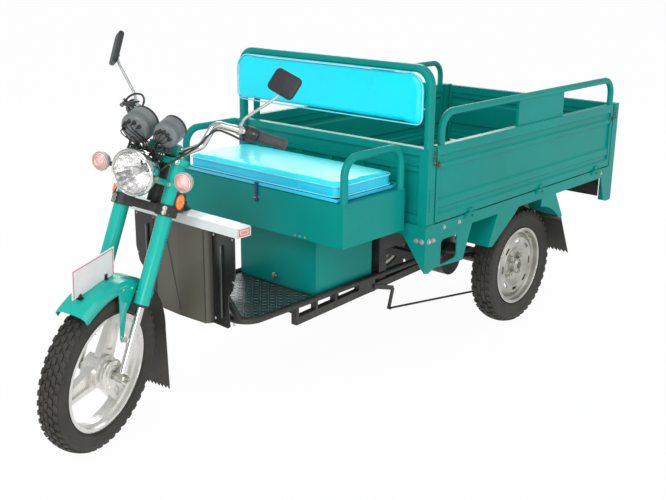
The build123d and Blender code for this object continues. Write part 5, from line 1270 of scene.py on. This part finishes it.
# %% Front hub
HUB_RIBS = 8
VALVE_ANGLE = 2.2
hub_parts = [lathed([(14, 40), (44, 40), (46, 42.5), (44, 45), (30, 46.5), (28, 49), (14, 49), (14, 40)],
                    56, AXLE, FORK_LEFT)]
for a in around(HUB_RIBS):
    rib = block((15, 3, 4), 1, by_axle(46, 36 * math.cos(a), 36 * math.sin(a)), FORK_LEFT,
                fork_way(0, math.cos(a), math.sin(a)), segments=1)
    hub_parts.append(rib)
kept(hub_parts, "brake_back_plate", cast_silver, "steering")
arm = [block((46, 11, 4), 2, by_axle(53, 26, 34), FORK_LEFT, fork_way(0, 0.45, 0.9)),
       hex_bolt(by_axle(55, 17, 16), FORK_LEFT, 11, 6), hex_bolt(by_axle(55, 35, 52), FORK_LEFT, 9, 7)]
coil = [by_axle(53 + 3.6 * math.cos(k * 0.9), 36 + k * 0.12, 56 + k * 0.55 + 3.6 * math.sin(k * 0.9))
        for k in range(60)]
arm.append(wire(coil, 0.9, sides=2))
arm.append(wire([by_axle(53, 36, 52), by_axle(53, 40, 90), by_axle(50, 26, 150)], 2.2))
kept(arm, "brake_cam_arm", zinc, "steering", angle=50)
caps = [lathed([(10, 42.5), (26, 42.5), (26, 45), (22, 48), (14, 49), (14, 42.5), (10, 42.5)], 40, AXLE,
               -FORK_LEFT)]
valve = lathed([(0, 0), (4, 0), (4, 3), (2.6, 4), (2.6, 26), (3.4, 27), (3.4, 33), (0, 34)], 16,
               by_axle(0, 167 * math.cos(VALVE_ANGLE), 167 * math.sin(VALVE_ANGLE)),
               fork_way(0, -math.cos(VALVE_ANGLE), -math.sin(VALVE_ANGLE)))
caps.append(valve)
kept(caps, "front_wheel_fittings", zinc, "front_wheel")
print("hub ribs", HUB_RIBS)

# %% [markdown]
# The leg shield is one moulding with a raised middle. A dark strip along the crease of the middle panel,
# and two more along its edges, are painted shade. Each wing has a glossy rib that catches the light, and is
# held by screws.
# The cross bar above ends in red reflectors behind a thin frame, and their grid of small prisms comes
# from the material.

# %% Leg shield and cross bar
WING_SCREWS = [(226, 612), (226, 480), (226, 345), (142, 345), (142, 612)]  # x and z
CREASE_TOP, CREASE_FOOT, SHIELD_MIDDLE = (-64, 622), (6, 345), 478
FRAME_BARS = [(0, 13, 52, 3), (0, -13, 52, 3), (24.5, 0, 3, 29), (-24.5, 0, 3, 29),  # y, z, width, height
              (0, 5.5, 32, 2), (0, -5.5, 32, 2), (15, 0, 2, 12), (-15, 0, 2, 12)]
low, high = box_mm("leg_shield")
ribs, dark, heads = [], [], []
for side in (-1, 1):
    ribs.append(block((8, 230, 5), 2.4, at(side * 176, high.y - 12, 470), FORWARD, LEFTWARD, segments=3))
    for x, z in WING_SCREWS:
        heads.append(screw(at(side * x, low.y + 24, z), FORWARD, 4.5, 2.6))
# Dark strips of painted shade along the crease and the edges of the middle panel.
start, end = (at(x, low.y - 0.2, z) for x, z in (CREASE_TOP, CREASE_FOOT))
dark.append(block(((end - start).length / MM, 2.2, 1.0), 0.3, (start + end) / 2, FORWARD, end - start,
                  segments=1))
for side in (-1, 1):
    edge = at(side * 118, low.y + 4, SHIELD_MIDDLE)
    dark.append(block((290, 3.0, 2.0), 0.8, edge, (side * 0.6, -0.8, 0), UPWARD))
kept(ribs, "shield_ribs", gloss_black, "chassis")
kept(dark, "shield_crease_shade", flap_rubber, "chassis")
kept(heads, "shield_screws", zinc, "chassis")

low, high = box_mm("shield_bar")
lenses, frames = [], []
for side in (-1, 1):
    x = high.x * side
    y, z = (low.y + high.y) / 2, (low.z + high.z) / 2
    lenses.append(block((high.y - low.y - 7, high.z - low.z - 6, 3), 1, at(x, y, z), (side, 0, 0),
                        BACKWARD))
    for dy, dz, wide, tall in FRAME_BARS:
        frames.append(block((wide, tall, 4), 0.8, at(x, y + dy, z + dz), (side, 0, 0), BACKWARD))
kept(lenses, "bar_reflectors", reflector_red, "chassis")
kept(frames, "bar_reflector_frames", white_paint, "chassis")
print("shield screws", len(heads), "reflectors", len(lenses))

# %% [markdown]
# The footboard is chequer plate. One raised lozenge is copied over the deck, each turned a quarter from
# its neighbour, and left out where the deck's front corners are round and where the seat base stands.

# %% Footboard
low, high = box_mm("footboard")
base_front = box_mm("base_box")[0].y
PITCH, CORNER_R, MARGIN = 19.0, 62.0, 9.0
lozenge = plate((17, 4.6, 2.2), 1.0)
places = []
columns = int((high.x - low.x - 2 * MARGIN) / PITCH)
rows = int((base_front - low.y - MARGIN) / PITCH)
for i in range(columns + 1):
    for j in range(rows + 1):
        x = (i - columns / 2) * PITCH
        y = low.y + MARGIN + 4 + j * PITCH
        past_x, past_y = abs(x) - (high.x - CORNER_R), low.y + CORNER_R - y
        if past_x > 0 and past_y > 0 and math.hypot(past_x, past_y) > CORNER_R - MARGIN:
            continue
        turn = Matrix.Rotation(math.radians(45 + 90 * ((i + j) % 2)), 4, "Z")
        places.append(Matrix.Translation(at(x, y, high.z)) @ turn)
# The lozenges' lighter colour is partly wear and partly painted highlight.
kept(copies(lozenge, places), "footboard_chequers", worn_deck_painted_glints, "chassis", angle=20)
print("lozenges", len(places))

# %% [markdown]
# The brake pedal on the right has a rubber pad with six ribs across it.

# %% Brake pedal
PEDAL = Vector((-122, -609.5, 388))
PAD_RIBS, PAD_RIB_PITCH = 6, 6.6
pad = [block((74, 43, 5), 1.5, PEDAL * MM, UPWARD, LEFTWARD)]
for k in range(PAD_RIBS):
    rib = at(PEDAL.x, PEDAL.y + (k - (PAD_RIBS - 1) / 2) * PAD_RIB_PITCH, PEDAL.z + 3.5)
    pad.append(block((70, 3.2, 3), 1, rib, UPWARD, LEFTWARD))
print("pedal pad parts", len(pad))
kept(pad, "pedal_pad", flap_rubber, "chassis")

# %% [markdown]
# The battery door hangs on two short hinges, each with three rivets through its lower leaf. A turning
# lock holds its foot. Leaves and barrels ride on the door, so that nothing is in its way when it
# opens. A small riveted plate covers a seam of the seat box.

# %% Battery door
DOOR_HINGE_X, LEAF_Z, BARREL_Z, BARREL_STEP, RIVET_STEP = 118, 514, 524, 14.6, 14
LOCK_Z = 350
SEAM_X, SEAM_Z = 196, 548
low, high = box_mm("base_box_door")
leaves, rivets = [], []
barrel = [(0, -7), (3.6, -7), (3.6, 7), (0, 7)]
for side in (-1, 1):
    x = side * DOOR_HINGE_X
    leaves.append(block((44, 15, 1.8), 0.6, at(x, low.y - 0.8, LEAF_Z), FORWARD, LEFTWARD))
    for k in (0, -1, 1):
        leaves.append(lathed(barrel, 16, at(x + k * BARREL_STEP, low.y - 2.2, BARREL_Z), LEFTWARD))
    for k in (-1, 0, 1):
        rivets.append(screw(at(x + k * RIVET_STEP, low.y - 1.6, LEAF_Z - 1), FORWARD, 3.4, 2.2))
lock = [lathed([(0, 0), (12, 0), (12, 1.6), (9, 3), (8, 6), (0, 6.5)], 28, at(0, low.y, LOCK_Z), FORWARD),
        block((17, 4, 6), 1.2, at(0, low.y - 8, LOCK_Z), FORWARD, UPWARD)]
kept(leaves, "door_hinge_leaves", teal, "battery_door")
kept(rivets + lock, "door_rivets_and_lock", zinc, "battery_door")
low, high = box_mm("seat_box")
seam = block((66, 13, 1.8), 0.6, at(SEAM_X, low.y - 0.8, SEAM_Z), FORWARD, LEFTWARD)
kept(seam, "seat_box_seam_plate", teal, "chassis")
seam_rivets = [screw(at(SEAM_X + k, low.y - 1.6, SEAM_Z), FORWARD, 3.6, 2.2) for k in (-22, 0, 22)]
print("door rivets", len(rivets), "seam rivets", len(seam_rivets))
kept(seam_rivets, "seam_rivets", zinc, "chassis")

# %% [markdown]
# The vinyl of the seat is wrapped round the edge of its lid board, which takes four thin strips. A strap
# of painted steel on the lid closes over a staple on the box.

# %% Seat lid
STRAP_Z, STRAP_HEAD_Z, STUD_Z, STAPLE_Z = 664, 692, 636, 645
WRAP_W, WRAP_THICK = 11, 1.6
lid_low, lid_high = box_mm("seat_lid")
front = box_mm("seat_box")[0].y
middle_y, middle_z = (lid_low.y + lid_high.y) / 2, lid_high.z - WRAP_W / 2
across = lid_high.x - lid_low.x
wrap = [block((across + 1, WRAP_W, WRAP_THICK), 0.7, at(0, lid_low.y - 0.5, middle_z), FORWARD, LEFTWARD),
        block((across - 4, WRAP_W, WRAP_THICK), 0.7, at(0, lid_high.y + 0.5, middle_z), BACKWARD, LEFTWARD)]
for side in (-1, 1):
    edge = at(side * (lid_high.x + 0.3), middle_y, middle_z)
    wrap.append(block((lid_high.y - lid_low.y, WRAP_W, WRAP_THICK), 0.7, edge, (side, 0, 0), BACKWARD))
kept(wrap, "seat_lid_wrap", vinyl_side, "seat_cover")
strap = [block((15, 58, 2.4), 1.0, at(0, front - 3.6, STRAP_Z), FORWARD, LEFTWARD),
         block((15, 6, 9), 1.0, at(0, front - 1, STRAP_HEAD_Z), FORWARD, LEFTWARD),
         lathed([(0, -1.6), (7.5, -1.6), (7.5, 1.2), (5.5, 1.2), (4.6, -0.4), (0, -0.4)], 24,
                at(0, front - 5, STUD_Z), FORWARD)]
kept(strap, "lid_strap", navy_strap, "seat_cover")
bow = [at(x, y, STAPLE_Z) for x, y in ((-5, front), (-5, front - 9), (5, front - 9), (5, front))]
staple = [wire(bow, 1.7, smooth=False),
          block((22, 13, 1.6), 0.5, at(0, front - 0.6, STAPLE_Z), FORWARD, LEFTWARD),
          screw(at(-8.5, front - 1.2, STAPLE_Z), FORWARD, 2.4, 1.4),
          screw(at(8.5, front - 1.2, STAPLE_Z), FORWARD, 2.4, 1.4)]
print("strap parts", len(strap), "staple parts", len(staple))
kept(staple, "lid_staple", zinc, "chassis", angle=50)

# %% [markdown]
# The arm rests are welded onto the seat box. Each foot gets a bead that is a little wavy, as a weld is.

# %% Arm rest welds
welds = []
ARM_TUBE_R = 12.5
low, high = box_mm("armrests")
for side in (-1, 1):
    for y in (low.y + ARM_TUBE_R, high.y - ARM_TUBE_R):
        bead = turned([(12.3, 0), (15.6, 0.3), (15, 2.4), (12.8, 3.6), (12.3, 3.4), (12.3, 0)], steps=28)
        for vertex in bead.data.vertices:
            vertex.co *= 1 + 0.02 * math.sin(9 * math.atan2(vertex.co.y, vertex.co.x))
        welds.append(placed(bead, at(side * (high.x - ARM_TUBE_R), y, low.z)))
print("weld beads", len(welds))
kept(welds, "armrest_weld_beads", teal, "chassis", angle=50)

# %% [markdown]
# Behind the battery box a bundle of leads leaves through rubber boots and runs back to the left rail.
# Rubber rings tie it together, and two connectors sit in it, their white a painted highlight. It is held
# at both ends, so it is a plain fixed run, with a fixed seed for the spread of its leads.

# %% Leads behind the battery box
low, high = box_mm("base_box")
chance = random.Random(11)
leads = []
for k in range(7):
    leads.append(wire([at(92 + 7 * k, high.y - 2, 400 + 12 * (k % 3)),
                       at(104 + 6 * k, high.y + chance.uniform(22, 40), 416 + chance.uniform(-14, 30)),
                       at(128 + 5 * k, high.y + chance.uniform(70, 95), 440 + chance.uniform(-12, 12)),
                       at(146, high.y + 170, 440 + 2 * k), at(152, high.y + 330, 432 + 2 * k),
                       at(140, high.y + 480, 420 + 2 * k)], chance.choice((2.6, 3.4, 4.2)), sides=3))
boots = []
boot = [(0, -1), (13, -1), (13, 3), (9, 6), (7.5, 16), (0, 16)]
for k in range(3):
    boots.append(lathed(boot, 24, at(102 + 24 * k, high.y, 412), BACKWARD))
    boots.append(lathed([(10, -3), (19, -3), (19, 3), (10, 3), (10, -3)], 20,
                        at(149, high.y + 170 + 80 * k, 441 - 2 * k), (0, 1, -0.05)))
sockets = [block((34, 20, 15), 2.5, at(150, high.y + 62, 462), (0.6, 0.2, 0.7), (0.2, 1, 0)),
           block((22, 16, 12), 2, at(122, high.y + 34, 448), (0.5, -0.4, 0.7), (0.3, 1, 0.2))]
print("leads", len(leads), "boots and rings", len(boots))
kept(leads, "battery_leads", flap_rubber, "chassis", angle=60)
kept(boots, "lead_boots", grip_rubber, "chassis")
# The connectors' white is a painted highlight.
kept(sockets, "lead_connectors_painted_highlight", white_paint, "chassis")

# %% [markdown]
# Bright bolts tie the corner posts to the corner plates. Each drop side is held at both ends by a hook on
# a short chain. A chain link is a closed wire loop, and every second link is turned a quarter.

# %% Bed hardware
POST_X, CHAIN_TOP, CHAIN_DROP = 448, 806, 46
PLATE_BOLT_Z, SILL_BOLT_Z, SIDE_X = 502, 536, 445.5
FRONT_BOLTS_X, SIDE_BOLTS_Y, SILL_BOLTS_Y = (408, 431), (-46, -22), (40, 130, 1180)
HOOKS = [(-34, 1), (1264, -1)]  # y of the chain, and the way its hook reaches
STAPLE_TOP, STAPLE_FOOT = 764, 752
CHAIN_PITCH, LINK_HALF_W, LINK_HALF_H = 11.0, 3.6, 7.2


def chain(top, count):
    """Links hanging straight down from a point in mm."""
    links = []
    for k in range(count):
        z = top.z - CHAIN_PITCH * (k + 0.5)
        loop = [(LINK_HALF_W, -3), (LINK_HALF_W, 3), (0, LINK_HALF_H),
                (-LINK_HALF_W, 3), (-LINK_HALF_W, -3), (0, -LINK_HALF_H)]
        points = [at(top.x + (a if k % 2 else 0), top.y + (0 if k % 2 else a), z + b) for a, b in loop]
        links.append(wire(points, 1.3, closed=True, sides=2))
    return links


bolts, hooks, staples, plates = [], [], {"left": [], "right": []}, []
for side, name in ((1, "left"), (-1, "right")):
    for x in FRONT_BOLTS_X:
        bolts.append(hex_bolt(at(side * x, -64.5, PLATE_BOLT_Z), FORWARD, 12, 7))
    for y in SIDE_BOLTS_Y:
        bolts.append(hex_bolt(at(side * SIDE_X, y, PLATE_BOLT_Z), (side, 0, 0), 12, 7))
    for y in SILL_BOLTS_Y:
        bolts.append(hex_bolt(at(side * SIDE_X, y, SILL_BOLT_Z), (side, 0, 0), 10, 5))
    for y, toward in HOOKS:
        top = Vector((side * POST_X, y, CHAIN_TOP))
        plates.append(block((16, 26, 2.4), 1, at(side * 446.2, y, CHAIN_TOP), (side, 0, 0), BACKWARD))
        hooks.append(screw(at(side * 447.5, y, 814), (side, 0, 0), 3.4, 2.2))
        hooks += chain(top, 4)
        x, z = side * POST_X, CHAIN_TOP - CHAIN_DROP
        hook = [at(x, y, z + 4), at(x, y + toward * 10, z - 6), at(x, y + toward * 24, z - 2),
                at(x + side * 2, y + toward * 30, z + 8)]
        hooks.append(wire(hook, 1.9, sides=3))
        y1 = y + toward * 27
        eye = [at(side * 444, y1, STAPLE_TOP), at(side * 452, y1, STAPLE_TOP),
               at(side * 452, y1, STAPLE_FOOT), at(side * 444, y1, STAPLE_FOOT)]
        staples[name].append(wire(eye, 1.8, smooth=False))
        foot = at(side * 445.2, y1, (STAPLE_TOP + STAPLE_FOOT) / 2)
        staples[name].append(block((12, 26, 2), 0.8, foot, (side, 0, 0), BACKWARD))
    plates.append(block((11, 74, 2.6), 1.2, at(side * 446, -44, 640), (side, 0, 0), BACKWARD))
    plates.append(block((40, 5, 4), 1.2, at(side * 447, -43, 556), (side, 0, 0), BACKWARD))
    plates.append(block((38, 5, 4), 1.2, at(side * 427, -65.5, 556), FORWARD, LEFTWARD))
print("bed bolts", len(bolts), "links and hooks", len(hooks))
kept(bolts, "bed_bolts", satin_rod, "chassis")
kept(hooks, "side_board_chains", dull_steel, "chassis", angle=60)
kept(plates, "post_plates", teal, "chassis")
for name in ("left", "right"):
    kept(staples[name], f"{name}_board_staples", dull_steel, f"{name}_side_gate", angle=50)

# %% [markdown]
# Shallow ribs run along the sheet of the bed floor, all copies of one.

# %% Bed floor ribs
RIBS, RIB_PITCH = 9, 84
low, high = box_mm("bed_floor")
rib = plate((16, high.y - low.y - 60, 3.0), 1.4, 3)
places = [Matrix.Translation(at((k - (RIBS - 1) / 2) * RIB_PITCH, (low.y + high.y) / 2, high.z + 0.2))
          for k in range(RIBS)]
kept(copies(rib, places), "bed_floor_ribs", teal, "chassis")
print("floor ribs", RIBS)

# %% [markdown]
# The lamp board under the tail carries a combined lamp at each side: a black base, a red lens and a
# smaller amber one. A round red reflector sits inboard of each. The mud flaps are held by steel strips
# with three bolts.

# %% Tail lamps and flap strips
LAMP_INSET, REFLECTOR_X, FLAP_X, STRIP_Z = 78, 150, 385, 398
low, high = box_mm("rear_lamp_board")
z = (low.z + high.z) / 2
bases, reds, ambers, strips, heads = [], [], [], [], []
for side in (-1, 1):
    x = side * (high.x - LAMP_INSET)
    bases.append(block((116, 58, 12), 5, at(x, high.y + 5, z), BACKWARD, LEFTWARD, segments=3))
    reds.append(block((66, 48, 14), 6, at(x - side * 19, high.y + 12, z), BACKWARD, LEFTWARD, segments=4))
    ambers.append(block((34, 48, 14), 6, at(x + side * 34, high.y + 12, z), BACKWARD, LEFTWARD, segments=4))
    for corner_x in (-52, 52):
        heads.append(screw(at(x + corner_x, high.y + 11, z + 23), BACKWARD, 3, 1.8))
    reds.append(lathed([(0, 0), (24, 0), (24, 5), (21, 8), (0, 9)], 32, at(side * REFLECTOR_X, high.y, z),
                       BACKWARD))
    strips.append(block((110, 15, 2.2), 0.8, at(side * FLAP_X, 874, STRIP_Z), (0, -0.9, -0.44), LEFTWARD))
    for k in (-42, 0, 42):
        heads.append(hex_bolt(at(side * FLAP_X + k, 875.5, STRIP_Z), (0, 0.9, 0.44), 9, 5))
print("tail lamps", len(bases), "bolts and screws", len(heads))
kept(bases, "tail_lamp_bases", black_plastic, "chassis")
kept(reds, "tail_lamp_lenses", tail_red, "chassis", angle=45)
kept(ambers, "tail_signal_lenses", reflector_amber, "chassis", angle=45)
kept(strips, "flap_strips", dull_steel, "chassis")
kept(heads, "tail_bolts", zinc, "chassis")

# %% [markdown]
# The rims get a bright rolled edge. Each rear wheel has four lug nuts, a dull steel hub cap and a valve.

# %% Wheel details
RIM_STEPS, LUG_NUTS = 48, 4
FRONT_EDGE_R, REAR_EDGE_R, LUG_RING_R, VALVE_RING_R = 181.6, 152.2, 44, 138
edges = []
for side in (-1, 1):
    circle = [by_axle(side * 28.0, FRONT_EDGE_R * math.cos(a), FRONT_EDGE_R * math.sin(a))
              for a in around(RIM_STEPS)]
    edges.append(wire(circle, 1.5, closed=True, sides=2))
kept(edges, "front_rim_edges", chrome, "front_wheel", angle=60)
for side, name in ((1, "left"), (-1, "right")):
    centre = Vector(joints[f"rear_wheel_{name}_spin"]["pos_m"]) / MM
    edges, dark, shiny = [], [], []
    for out in (-35.5, 35.5):
        circle = [at(centre.x + side * out, centre.y + REAR_EDGE_R * math.cos(a),
                     centre.z + REAR_EDGE_R * math.sin(a)) for a in around(RIM_STEPS)]
        edges.append(wire(circle, 1.6, closed=True, sides=2))
    for k in range(LUG_NUTS):
        a = math.tau * (k + 0.5) / LUG_NUTS
        spot = at(centre.x + side * 15, centre.y + LUG_RING_R * math.cos(a),
                  centre.z + LUG_RING_R * math.sin(a))
        shiny.append(hex_bolt(spot, (side, 0, 0), 21, 12))
    cap = [(0, 0), (27, 0), (27, 8), (24, 14), (21, 22), (14, 24.6), (0, 25.4)]
    dark.append(lathed(cap, 36, at(centre.x + side * 14, centre.y, centre.z), (side, 0, 0)))
    valve = [(0, 0), (4, 0), (4, 4), (2.6, 5), (2.6, 26), (3.4, 27), (3.4, 33), (0, 34)]
    y, z = math.cos(1.0), math.sin(1.0)
    spot = at(centre.x + side * 20, centre.y + VALVE_RING_R * y, centre.z + VALVE_RING_R * z)
    shiny.append(lathed(valve, 16, spot, (side * 0.8, -y * 0.6, -z * 0.6)))
    kept(edges, f"rear_rim_edges_{name}", chrome, f"rear_wheel_{name}", angle=60)
    kept(dark, f"hub_cap_{name}", dull_steel, f"rear_wheel_{name}")
    kept(shiny, f"lug_nuts_{name}", zinc, f"rear_wheel_{name}")
print("lug nuts on each rear wheel", LUG_NUTS)

# %% [markdown]
# The U-bolts of the springs end in nuts under the axle, and four bolts hold the risers of the handlebar.

# %% Nuts of the springs, bolts of the risers
U_BOLT_X, U_BOLT_Y, NUT_DROP = (205.5, 250.5), (-37, 37), 38
RISER_X, RISER_Y, RISER_TOP = (-38, 38), (-30, -8), 695
nuts = []
centre = Vector(joints["rear_wheel_left_spin"]["pos_m"]) / MM
for side in (-1, 1):
    for x in U_BOLT_X:
        for y in U_BOLT_Y:
            nuts.append(hex_bolt(at(side * x, centre.y + y, centre.z - NUT_DROP), (0, 0, -1), 15, 7))
kept(nuts, "spring_nuts", zinc, "chassis")
risers = [hex_bolt(on_fork(x, y, RISER_TOP), FORK_UP, 10, 5) for x in RISER_X for y in RISER_Y]
print("spring nuts", len(nuts), "riser bolts", len(risers))
kept(risers, "riser_bolts", zinc, "steering")
